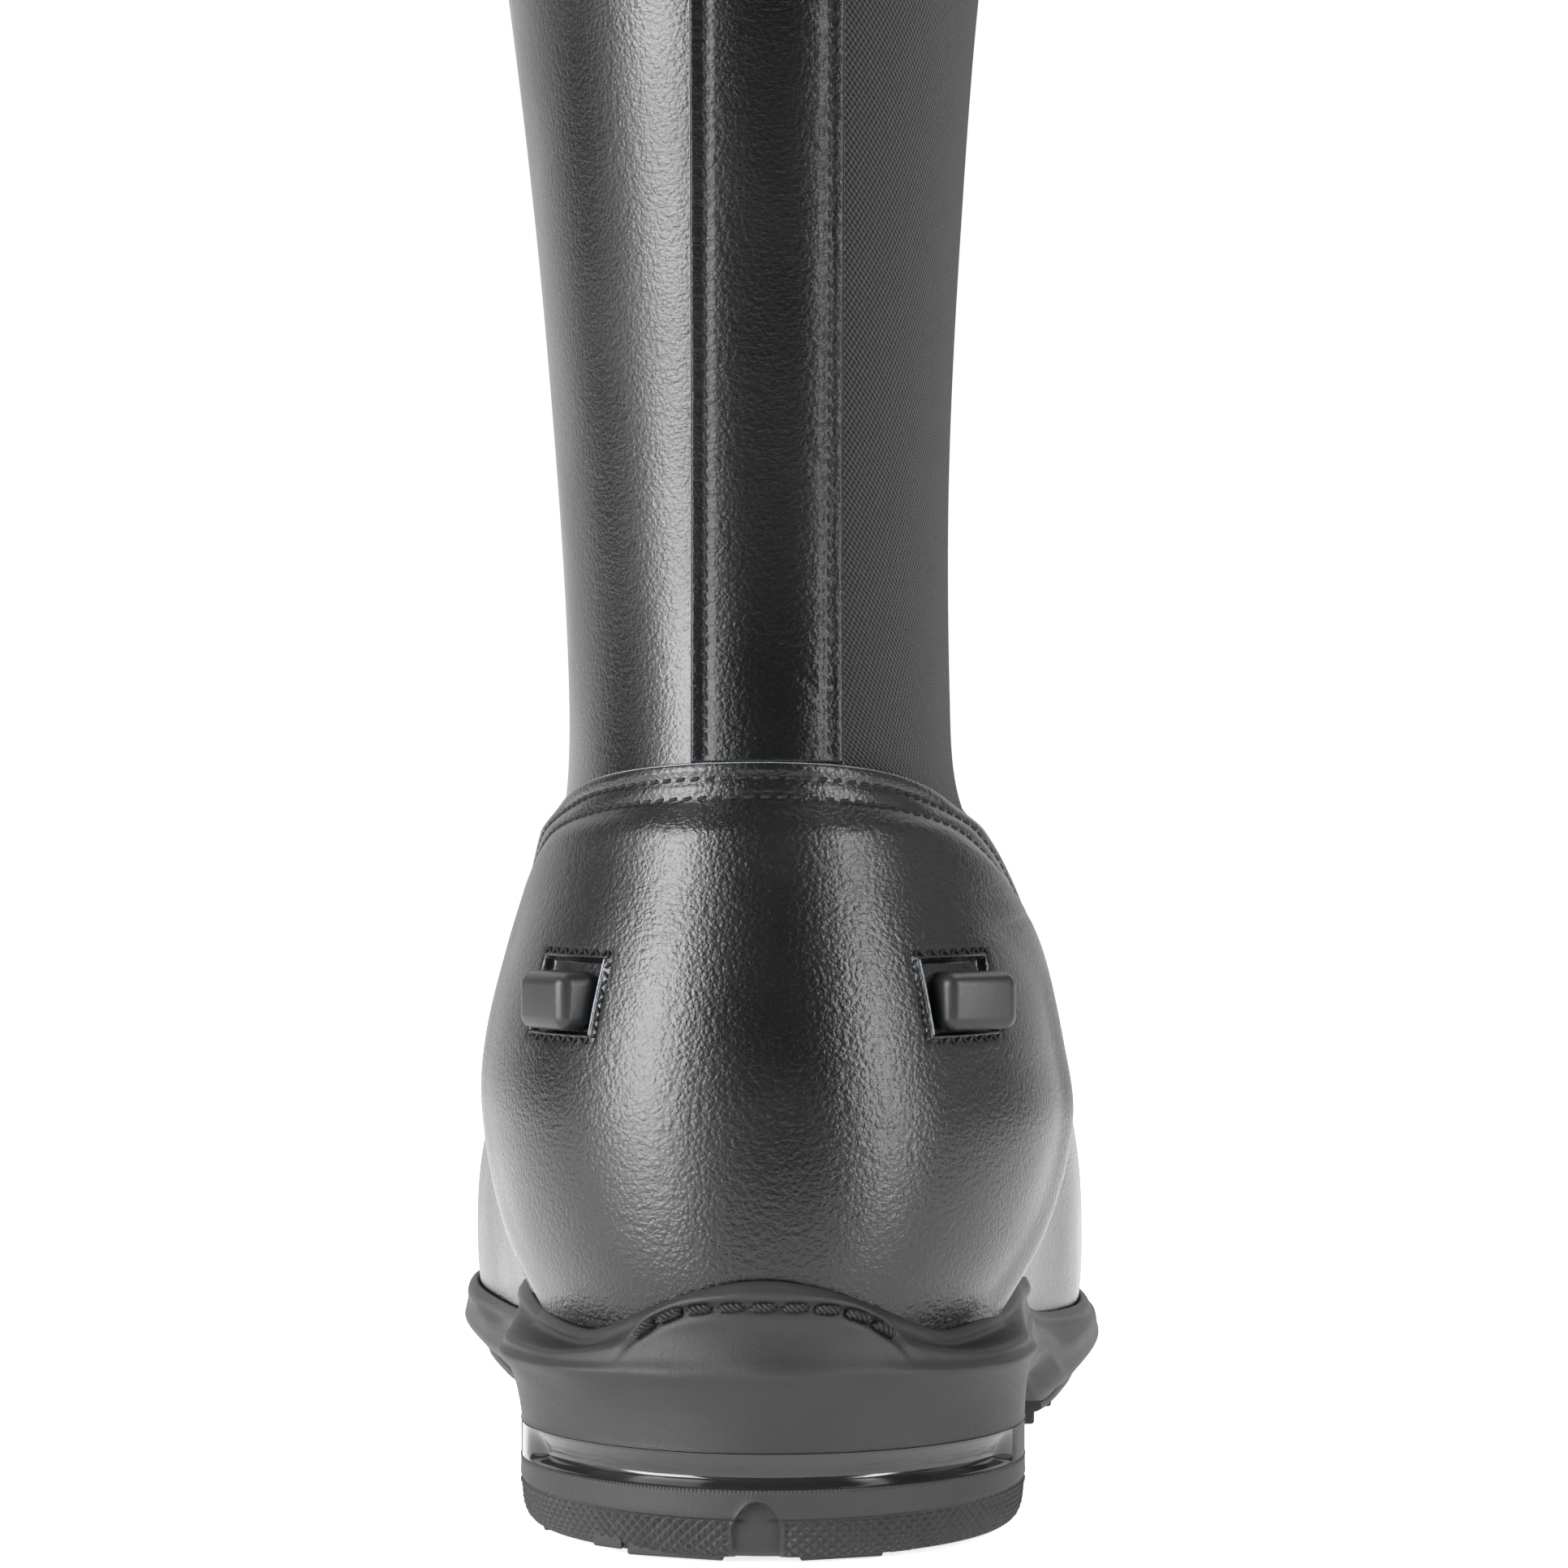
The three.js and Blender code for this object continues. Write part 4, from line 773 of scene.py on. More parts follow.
def zip_parts():
    for name, low, high in (("front", -13, -0.2), ("rear", 0.2, 13)):
        _, _, p, n = leg_grid(beside_zip(low), beside_zip(high), always(122.0), always(435.0), 1.6, 0.4)
        sheet(f"zip_tape_{name}_cloth", p, n, TAPE_LAYER, TAPE, edge=0.4, replaces=f"zip_tape_{name}",
              slot="zip_tape")
    pitch = 1.5
    length = float(np.linalg.norm(zip_at(430.0) - ZIP_LOW))
    for name, sign, shift in (("front", -1, 0.0), ("rear", 1, pitch / 2)):
        v, f = round_box((0.8, length, 1.0), 0.35, 3)
        bead = (in_zip(v + [sign * 2.3, length / 2, -0.75]), f)
        v, f = round_box((2.5, 0.95, 1.5), 0.42, 3)
        teeth = [(in_zip(v + [sign * 1.25, s, -0.5]), f) for s in np.arange(0.6 + shift, length - 0.4, pitch)]
        make(f"zip_coil_{name}_teeth", *joined([*teeth, bead]), COIL, replaces=f"zip_coil_{name}",
             slot="zip_polyamide")

def snap_tab():
    low, high = TAB_Z
    middle = (low + high) / 2

    def band(name, start, end, layer, body, node):
        f = stations(abs(end - start), 0.7, 0.6)
        g = stations(high - low, 0.7, 0.6)
        across = mix(start, end, f)[:, None]
        # The free end is rounded.
        narrow = np.ones_like(across)
        if body == "tab":
            past = np.clip((-14.5 - across) / 7.5, 0, 0.999)
            narrow = np.sqrt(1 - past ** 2.4)
        z = middle + (g[None, :] - 0.5) * (high - low) * narrow
        p, n = leg_wall(beside_zip(across)(z), z)
        sheet(name, p, n, layer, [LEATHER, RAW], edge=0.6, raw=0.18, body=body, replaces=node, slot="upper_leather")
    band("snap_tab_base_leather", 12.0, 20.0, TAB_BASE_LAYER, "boot", "snap_tab_base")
    band("snap_tab_leather", 19.6, -22.0, TAB_LAYER, "tab", "snap_tab")
    around = np.linspace(0, PI / 2, 12)[1:]
    across = np.concatenate([np.linspace(18.2, -15, 60), -15 - 5.2 * np.sin(around)])
    z = np.concatenate([np.full(60, middle + 5.4), middle + 5.4 * np.cos(around)])
    across, z = np.concatenate([across, across[::-1][1:]]), np.concatenate([z, (2 * middle - z)[::-1][1:]])
    leg_seam("snap_tab_seam", beside_zip(across)(z), z, TAB_LAYER[1] - 0.05, pitch=2.2, radius=0.25, lift=0.06,
             body="tab")

# ---------------------------------------------------------------- foot of the upper

def perimeter(u):
    """Along the foot's outline by u in 0..4: inner side to the toe, round it, outer side back, round the heel."""
    u = np.asarray(u, float) % 4
    part = np.floor(u).astype(int)
    turn = PI * (u - part)
    y = np.where(part == 0, u * TOE_Y, np.where(part == 1, TOE_Y, np.where(part == 2, (3 - u) * TOE_Y, 0)))
    x = foot_centre(y)
    ox = np.select([part == 0, part == 1, part == 2], [-1.0, -np.cos(turn), 1.0], np.cos(turn))
    oy = np.select([part == 0, part == 1, part == 2], [0.0, np.sin(turn), 0.0], -np.sin(turn))
    return x, y, ox, oy, part, turn


def foot_wall(u, t, low):
    """The foot's outside face: u runs along its outline, t from the sole's edge up to the throat line."""
    x, y, ox, oy, _, _ = perimeter(u)
    lean = 0.17 * smooth((y - 8) / 60) * smooth((150 - y) / 60)
    zero = np.zeros_like(x)
    up = np.stack([zero, np.sin(lean), np.cos(lean)], -1)
    out = np.stack([ox, oy, zero], -1)
    origin = np.stack([x, y, foot_waist(y)], -1)

    def ray(angle):
        return leave(origin, out * np.cos(angle)[..., None] + up * np.sin(angle)[..., None])

    def above(angle):
        pt = ray(angle)[0]
        return pt[..., 2] > throat_line(pt[..., 1])
    width = np.linalg.norm(ray(zero)[0] - origin, axis=-1)
    bottom = np.arctan2(low(y + oy * width) - origin[..., 2], width)
    a, b = zero.copy(), np.full_like(bottom, PI / 2)
    top_above = above(b)
    for _ in range(16):
        m = (a + b) / 2
        hit = above(m)
        b, a = np.where(hit, m, b), np.where(hit, a, m)
    reached = np.where(top_above, a, PI / 2)
    angle = mix(bottom[:, None], reached[:, None], t[None, :])
    big = lambda q: np.broadcast_to(q[:, None], (len(u), len(t)) + q.shape[1:])
    return leave(big(origin), big(out) * np.cos(angle)[..., None] + big(up) * np.sin(angle)[..., None])

def vamp():
    start = 10 / TOE_Y
    u = np.concatenate([start + np.array([0, 0.2, 0.5]) / TOE_Y, np.linspace(start + 0.8 / TOE_Y, 1, 120)[:-1],
                        np.linspace(1, 2, 90)[:-1], np.linspace(2, 3 - start - 0.8 / TOE_Y, 120),
                        3 - start - np.array([0.5, 0.2, 0]) / TOE_Y])
    t = np.concatenate([np.linspace(0, 0.97, 66), [0.978, 0.985, 0.991, 0.996, 1.0]])
    p, n = foot_wall(u, t, lambda y: lip_side(y) - 5)
    theta = np.arctan2(p[..., 0], 60 - p[..., 1])
    flex = 0.5 * bell(p[..., 1], 128, 26) * np.sin(p[..., 1] * 0.33 + 0.7 * np.sin(theta * 3)) * smooth(
        (p[..., 2] - 40) / 25)
    flex += 0.45 * bell(p[..., 1], 74, 16) * np.sin(p[..., 2] * 0.5) * smooth((p[..., 2] - 60) / 20)
    up = gaps(p, 1)
    below = up[:, -1:] - up
    seam = np.where((p[..., 1] < 92) & (p[..., 2] < 127), 1.0, 0.0)
    edge_drop = (1 - np.sqrt(1 - np.clip(1 - below / 0.9, 0, 1) ** 2)) * 0.7 * seam
    outer = p + n * (VAMP_LAYER[1] + ripple(theta, p[..., 2], 5, 0.4) + flex - edge_drop)[..., None]
    o = make("vamp_leather", *shell(outer, p + n * VAMP_LAYER[0]), LEATHER, replaces="vamp", slot="upper_leather")
    merged(o, 0.00002)
    # The throat seam: two rows below the edge of the foot's leather.
    edge = p[:, -1]
    row = np.arange(len(p))
    keep = (edge[:, 1] < 90) & (edge[:, 2] < 125.5)
    for k, inset in enumerate(SEAM_INSETS):
        where = np.abs(below - inset).argmin(1)
        line, nm = outer[row, where], n[row, where]
        for side, pick in (("inner", row < len(p) // 2), ("outer", row >= len(p) // 2)):
            chosen = keep & pick
            stitches(f"throat_seam_{side}_{k + 1}", line[chosen], nm[chosen], radius=0.27, lift=0.06)

# ---------------------------------------------------------------- heel counter and spur rests

SPUR_Z = 75.0
SPUR_X = 28
SPUR_HALF = (7.0, 5.0)
SPUR_BLOCK = (12, 8)
SPUR_STAND = 4.2
SPUR_TURN = {-1: 0, 1: -20}
COUNTER_TOP_Z = 108
COUNTER_ROWS = (2.4, 5.1)


def counter_fall(f):
    return np.where(f < 0, 15, 27)

def counter_top(f):
    return COUNTER_TOP_Z - counter_fall(f) * f * f


def counter_slant(f):
    """How much longer the way down to a line inset from the sloping top is than the inset itself."""
    return np.hypot(1, 2 * counter_fall(f) * f / 57)


def heel_low(f):
    return 24.5 + 1.5 * np.cos(f)


def counter_sink(z):
    return 1.15 * smooth((z - 97) / 5)


def spur_frame(side):
    lo, hi = 0.0, 1.4
    for _ in range(24):
        m = (lo + hi) / 2
        if leg_wall(m * side, SPUR_Z)[0][0] * side < SPUR_X - 2.5:
            lo = m
        else:
            hi = m
    p, n = leg_wall(lo * side, SPUR_Z)
    out = unit(np.array([n[0], n[1], 0]))
    across = np.cross([0, 0, 1], out)
    return p, across, out, n[2] / math.hypot(n[0], n[1])


SPURS = {side: spur_frame(side) for side in (-1, 1)}


def window_depth(p, side):
    """How far inside a spur rest's window a point is, in millimetres; negative outside."""
    centre, across, out, _ = SPURS[side]
    rel = p - centre
    a = rel @ across
    near = (rel @ out) > -8
    return np.where(near, np.minimum(SPUR_HALF[0] - np.abs(a), SPUR_HALF[1] - np.abs(rel[..., 2])), -50)


def counter_relief(f, z, p, below):
    """Height over the counter's layer: seams, the padded roll inside them, and folds over the outer window."""
    front = (1 - np.abs(f)) * counter_edge(z) * leg_radius(np.where(f < 0, -1.5, 1.5), z)
    low = z - heel_low(f)
    inset = -np.log(np.exp(-below / counter_slant(f) / 1.2) + np.exp(-np.maximum(front, 0) / 1.2)) * 1.2
    total = -0.32 * sum(bell(inset, row, 0.55) for row in COUNTER_ROWS)
    total += 0.16 * bell(inset, 1.2, 0.7)
    outer_side = smooth((f - 0.2) / 0.4)
    total += (0.35 + 0.75 * outer_side) * smooth((inset - 5.0) / 3.0) * (1 - smooth((inset - 8.0) / 9.0))
    folds = sum(bell(z, c + 1.2 * np.sin(f * 5 + c), 0.75) for c in (84.5, 87.2, 90.4))
    total -= 0.16 * folds * outer_side * smooth((inset - 5.5) / 4)
    total += 0.35 * smooth((6 - low) / 6)
    for side in (-1, 1):
        d = window_depth(p, side)
        total -= 1.5 * smooth((d + 0.22) / 0.44)
        total += 0.25 * bell(d, -0.3, 0.35) - 0.18 * bell(d, -0.95, 0.4)
    return total + ripple(f * 1.5, z, 9, 0.3)


def dense(stops, low, high, step, fine, width=0.6):
    """Positions from low to high, closer together round the stops."""
    base = np.arange(low, high, step)
    extra = [np.arange(s - width, s + width, fine) for s in stops]
    every = np.unique(np.round(np.concatenate([base, *extra, [low, high]]), 5))
    every = every[(every >= low) & (every <= high)]
    keep = np.concatenate([[True], np.diff(every) > fine * 0.6])
    keep[-1] = True
    return every[keep]


def counter():
    ends = []
    for side in (-1, 1):
        centre, across, _, _ = SPURS[side]
        for a in (-SPUR_HALF[0], SPUR_HALF[0]):
            q = centre + across * a
            ends.append(math.atan2(q[0], LEG_AXIS_Y - q[1]) / 1.5)
    f = dense(ends, -1, 1, 0.0075, 0.0022, 0.018)
    f = np.unique(np.concatenate([f, [-0.998, -0.994, -0.989, -0.982, 0.982, 0.989, 0.994, 0.998]]))
    z0 = dense([SPUR_Z - SPUR_HALF[1], SPUR_Z + SPUR_HALF[1]], 25.5, 80.8, 0.55, 0.14, 0.8)
    blend = np.concatenate([np.linspace(0, 0.9, 44)[1:],
                            1 - np.array([2.0, 1.4, 1.1, 0.8, 0.55, 0.35, 0.2, 0.1, 0]) / 25])
    top = counter_top(f)[:, None]
    z = np.concatenate([np.broadcast_to(z0, (len(f), len(z0))), mix(80.8, top, blend[None, :])], 1)
    ff = np.broadcast_to(f[:, None], z.shape)
    theta = ff * counter_edge(z)
    p, n = leg_wall(theta, z)
    below = top - z
    relief = counter_relief(ff, z, p, below) - counter_sink(z)
    sheet("heel_counter_leather", p, n, COUNTER_LAYER, [COUNTER_LEATHER, RAW], relief=relief, edge=0.55, drop=0.8,
          raw=0.42, raw_sides="LRT", replaces="heel_counter", slot="upper_leather")
    for k, inset in enumerate(COUNTER_ROWS):
        g = np.linspace(-0.99, 0.99, 400)
        zt = counter_top(g) - inset * counter_slant(g)
        paths = []
        for s in (-1, 1):
            zs = np.arange(34.0, float(counter_top(float(s))) - inset - 2, 0.5)
            radius = leg_radius(np.full_like(zs, 1.5 * s), zs)
            paths.append((s * (1 - inset / (counter_edge(zs) * radius)), zs))
        limit = 1 - inset / 50
        keep = np.abs(g) < limit - 0.02
        fs = np.concatenate([paths[0][0], g[keep], paths[1][0][::-1]])
        zz = np.concatenate([paths[0][1], zt[keep], paths[1][1][::-1]])
        line = resample(np.stack([fs * 50, zz, np.zeros_like(zz)], 1), 0.5)
        for _ in range(14):
            line[1:-1] = (line[:-2] + 2 * line[1:-1] + line[2:]) / 4
        fs, zz = line[:, 0] / 50, line[:, 1]
        pt, nm = leg_wall(fs * counter_edge(zz), zz)
        height = COUNTER_LAYER[1] + counter_relief(fs, zz, pt, counter_top(fs) - zz) - counter_sink(zz)
        stitches(f"counter_seam_{k + 1}", pt + nm * height[:, None], nm, pitch=2.25, gap=0.45, radius=0.29,
                 lift=0.12, slant=0.12, seed=20 + k)
    for side in (-1, 1):
        spur_rest(side)


def behind_window(side, path):
    """Where the heel's face lies behind a path drawn about a spur rest, and the normals there."""
    centre, across, out, _ = SPURS[side]
    origin = centre + path[:, :1] * across - out * 14
    origin[:, 2] += path[:, 1]
    return leave(origin, np.broadcast_to(out, origin.shape).copy())

def spur_rest(side):
    centre, across, out, lean = SPURS[side]
    name = "inner" if side < 0 else "outer"
    stand = COUNTER_LAYER[1] + SPUR_STAND
    depth = stand - 0.9
    v, f = round_box((*SPUR_BLOCK, depth), 1.9, 7)
    z = v[:, 2] + depth / 2 + 0.9
    back = np.clip((stand - z) / depth, 0, 1)
    z = z - v[:, 1] * lean * back
    # A fine mould line round the block, and a slightly domed face.
    ring = bell(z, 3.9, 0.16) * 0.14
    swell = 1 + ring[:, None] / np.array([6, 4])
    z = z + 0.25 * (1 - (v[:, 0] / 6) ** 2) * (1 - back) - 0.25
    turned = math.radians(SPUR_TURN[side])
    a, o = v[:, 0] * swell[:, 0], z - stand + 1.5
    a, o = a * math.cos(turned) + o * math.sin(turned), o * math.cos(turned) - a * math.sin(turned)
    w = centre + a[:, None] * across + (o + stand - 1.5)[:, None] * out
    w[:, 2] += v[:, 1] * swell[:, 1]
    o = make(f"spur_rest_{name}_block", w, f, BLOCK, replaces=f"spur_rest_{'medial' if side < 0 else 'lateral'}",
             slot="moulded_rubber")
    merged(o)
    # Zigzag rows round the window, laid on the leather.
    a, b = SPUR_HALF[0] + 0.85, SPUR_HALF[1] + 0.8
    corner = 0.8
    arc = np.linspace(0, PI / 2, 8)
    loop = []
    for cx, cy, start in ((a - corner, b - corner, 0), (-a + corner, b - corner, 1), (-a + corner, -b + corner, 2),
                          (a - corner, -b + corner, 3)):
        ang = arc + start * PI / 2
        loop.append(np.stack([cx + corner * np.cos(ang), cy + corner * np.sin(ang)], -1))
    loop = np.concatenate(loop + [loop[0][:1]])
    path = resample(np.concatenate([loop, np.zeros((len(loop), 1))], 1), 0.5)
    pt, nm = behind_window(side, path)
    f = np.arctan2(pt[:, 0], LEG_AXIS_Y - pt[:, 1]) / counter_edge(pt[:, 2])
    relief = counter_relief(f, pt[:, 2], pt, counter_top(f) - pt[:, 2])
    stitches(f"spur_window_seam_{name}", pt + nm * (COUNTER_LAYER[1] + relief)[:, None], nm, pitch=1.25, gap=0.1,
             radius=0.28, lift=0.16, sink=0.35, zigzag=0.5, seed=31)
    # The cut edge of the leather shows as a pale line inside the window.
    a, b = SPUR_HALF[0] + 0.05, SPUR_HALF[1] + 0.05
    inner = np.array([[-side * a, -b], [-side * a, b]])
    path = resample(np.concatenate([inner, np.zeros((2, 1))], 1), 0.4)
    pt, nm = behind_window(side, path)
    lip = ((-0.1, 2.85), (0.08, 3.06), (0.34, 3.02), (0.5, 2.5), (0.1, 1.6))
    grid = np.stack([pt + nm * height + across * width * side for width, height in lip], 1)
    make(f"spur_window_edge_{name}", grid.reshape(-1, 3), quads(len(pt), len(lip), loop_columns=True), RAW,
         slot="upper_leather")

# ---------------------------------------------------------------- sole unit

def sole_reach(u):
    _, y, ox, oy, part, turn = perimeter(u)
    side = np.where(part == 0, sole_medial(y), sole_lateral(y))
    heel = mix(sole_lateral(0.0), sole_medial(0.0), turn / PI)
    wide = np.where(ox < 0, sole_medial(TOE_Y), sole_lateral(TOE_Y))
    toe = ((np.abs(ox) / wide) ** 2.15 + (np.abs(oy) / (TIP_Y - TOE_Y)) ** 2.15) ** (-1 / 2.15)
    return np.select([part == 1, part == 3], [toe, heel], side)


def lip_height(u):
    _, y, _, oy, part, turn = perimeter(u)
    away = np.abs(turn - PI / 2)
    tab = smooth(1 - away / 0.95)
    rear = mix(29.3, lip_side(0.0), smooth((away - 1) / 0.55))
    return np.where(part == 3, mix(rear, 38, tab), lip_side(y + np.maximum(oy, 0) * 50))


def spline(points, count):
    """Catmull-Rom through control points along axis -2, evenly by parameter."""
    n = points.shape[-2]
    t = np.linspace(0, n - 1, count)
    i = np.minimum(t.astype(int), n - 2)
    w = (t - i)[:, None]
    pick = lambda k: points[..., np.clip(i + k, 0, n - 1), :]
    a, b, c, d = pick(-1), pick(0), pick(1), pick(2)
    return 0.5 * (2 * b + (c - a) * w + (2 * a - 5 * b + 4 * c - d) * w ** 2 + (3 * b - a - 3 * c + d) * w ** 3)


def thread_z(away):
    return 34.6 - 3.6 * away ** 4 - 0.8 * away ** 2


def cup():
    u = np.concatenate([np.linspace(0, 1, 150)[:-1], np.linspace(1, 2, 110)[:-1], np.linspace(2, 3, 150)[:-1],
                        np.linspace(3, 4, 260)[:-1]])
    x, y, ox, oy, part, turn = perimeter(u)
    reach, lip = sole_reach(u), lip_height(u)
    rim_y = y + oy * reach
    base, floor = sole_bottom(rim_y), seat(rim_y)
    out = np.stack([ox, oy, np.zeros_like(ox)], -1)

    def wall_at(z, layer):
        origin = np.stack([x, y, np.maximum(z, floor + 1)], -1)
        return np.linalg.norm(leave(origin, out)[0] - origin, axis=-1) + layer
    heel = smooth((56 - y) / 30)
    layer = mix(1.55, 2.85, smooth((42 - y) / 14))
    hug = np.minimum(wall_at(lip - 0.6, layer), reach - 1.9)
    ridge = mix(base + 4.6, 25.8 - 1.2 * np.abs(ox), heel)
    deep = np.minimum(wall_at(lip - 4, layer), reach - 2.4)
    slim = 1.5 * heel * smooth(-ox) ** 0.7
    upper = lip - ridge
    control = np.stack([np.stack(q, -1) for q in (
        (deep - 0.8, lip - 4.5), (hug - 0.3, lip - 1.4), (hug + 0.15, lip - 0.25), (hug + 0.9, lip + 0.1),
        (np.minimum(hug + 1.9, reach - 0.5), lip - 0.8), (np.minimum(hug + 2.3, reach - 0.3), lip - 2.0),
        (reach - mix(0.6, 1.0, heel), ridge + upper * 0.5), (reach - mix(0.25, 0.5, heel), ridge + upper * 0.22),
        (reach + 0.3 * heel, ridge), (reach - mix(0.5, 0.3, heel) - slim * 0.3, ridge - (ridge - base) * 0.2),
        (reach - mix(1.8, 0.95, heel) - slim * 0.7, ridge - (ridge - base) * 0.5),
        (reach - mix(3.4, 1.2, heel) - slim, base + 1.2), (reach - mix(4.2, 1.25, heel) - slim, base + 0.15),
        (reach - mix(5.2, 1.6, heel) - slim, base),
        (reach - mix(9, 7, heel), base))], 1)
    section = spline(control, 74)
    dist, z = section[..., 0], section[..., 1]
    # A groove for the heel's thread, and the thread's own bed.
    away = (turn - PI / 2) / 0.5
    at_heel = np.where(part == 3, 1.0, 0.0)[:, None]
    line = thread_z(np.clip(away, -1.3, 1.3))[:, None]
    ends = (1 - smooth((np.abs(away) - 0.96) / 0.22))[:, None]
    outside = (np.arange(74) > 18)[None, :]
    dist = dist - at_heel * ends * outside * (0.95 * bell(z, line, 0.75) - 0.18 * bell(z, line + 1.5, 0.6)
                                              - 0.14 * bell(z, line - 1.6, 0.7))
    # The moulded swell under the tab, uneven as rubber is.
    dist = dist + at_heel * outside * 0.35 * bell(z, ridge[:, None] + 0.6, 1.6)
    wave = 0.16 * np.sin(turn[:, None] * 7 + z * 0.4) + 0.12 * np.sin(turn[:, None] * 13 - z * 0.7)
    dist = dist + at_heel * outside * wave * bell(z, ridge[:, None] - 0.5, 3.2)
    p = np.stack([x[:, None] + ox[:, None] * dist, y[:, None] + oy[:, None] * dist, z], -1)
    # The inside floor and the underside close the body.
    inner = np.stack([np.stack([x + ox * (deep - 4), y + oy * (deep - 4), floor], -1),
                      np.stack([x, y, seat(y)], -1)], 1)[:, ::-1]
    under = np.stack([x, y, sole_bottom(y)], -1)[:, None]
    grid = np.concatenate([inner, p, under], 1)
    rows, columns = grid.shape[:2]
    make("sole_cup_rubber", grid.reshape(-1, 3), quads(rows, columns, loop_rows=True), RUBBER,
         replaces="midsole_cup", slot="sole_rubber")
    # Eight thick stitches lie in the groove.
    a = np.linspace(-1.02, 1.02, 300)
    tn = PI / 2 + a * 0.5
    r = np.interp(tn, turn[part == 3], (reach - 0.95)[part == 3])
    pt = np.stack([np.cos(tn) * r, -np.sin(tn) * r, thread_z(a)], -1)
    nm = np.stack([np.cos(tn), -np.sin(tn), np.full_like(tn, 0.1)], -1)
    hold = stitches("heel_thread_stitches", pt, unit(nm), pitch=4.4, gap=0.7, radius=0.62, lift=0.15, sink=0.9,
                    slant=0.12, plies=3, material=SOLE_THREAD, slot="sole_thread")
    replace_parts(hold, "heel_thread")

def heel_turn(columns):
    """Places round the heel from its front edge, 0..1, and the turn about its middle at each."""
    g = np.linspace(0, 1, columns)
    return g, PI * np.clip((g - HEEL_SIDE) / (1 - 2 * HEEL_SIDE), 0, 1)

def heel_ring(pull, z, columns):
    """Loops round the heel with a straight front; pull and z are rows of the section, by place round the heel."""
    g, turn = heel_turn(columns)
    reach = mix(sole_lateral(0.0), sole_medial(0.0), turn / PI)[:, None] - pull
    reach = reach - 1.5 * smooth(-np.cos(turn))[:, None] ** 0.7
    y0 = HEEL_BREAST_Y * (1 - np.minimum(np.minimum(g, 1 - g) / HEEL_SIDE, 1))
    return np.stack([np.cos(turn)[:, None] * reach, y0[:, None] - np.sin(turn)[:, None] * reach,
                     np.broadcast_to(z, reach.shape)], -1)

def ring_body(name, grid, material, **keys):
    """A solid whose outside is the grid: columns run down the section, rows round the heel."""
    middle = grid.mean((0, 1))
    top, bottom = grid[:, 0].copy(), grid[:, -1].copy()
    top[:, :2] = mix(top[:, :2], middle[:2], 0.45)
    bottom[:, :2] = mix(bottom[:, :2], middle[:2], 0.45)
    full = np.concatenate([top[:, None], grid, bottom[:, None]], 1)
    rows, columns = full.shape[:2]
    down, last = np.arange(columns - 1), (rows - 1) * columns
    front = np.stack([down, down + 1, last + down + 1, last + down], -1)
    flat = []
    for c in (0, columns - 1):
        for i in range(rows // 2 - 1):
            a, b = i * columns + c, (i + 1) * columns + c
            d, e = (rows - 1 - i) * columns + c, (rows - 2 - i) * columns + c
            flat.append([a, b, e, d] if c == 0 else [a, d, e, b])
    return make(name, full.reshape(-1, 3), np.concatenate([quads(rows, columns), front, np.array(flat)]), material,
                crisp=50, **keys)

def lug(size, at, radius=0.5):
    """A tread block that stands on the floor."""
    v, f = round_box((*size, LUG_HEIGHT), radius, 4)
    return v + [*at, LUG_HEIGHT / 2], f

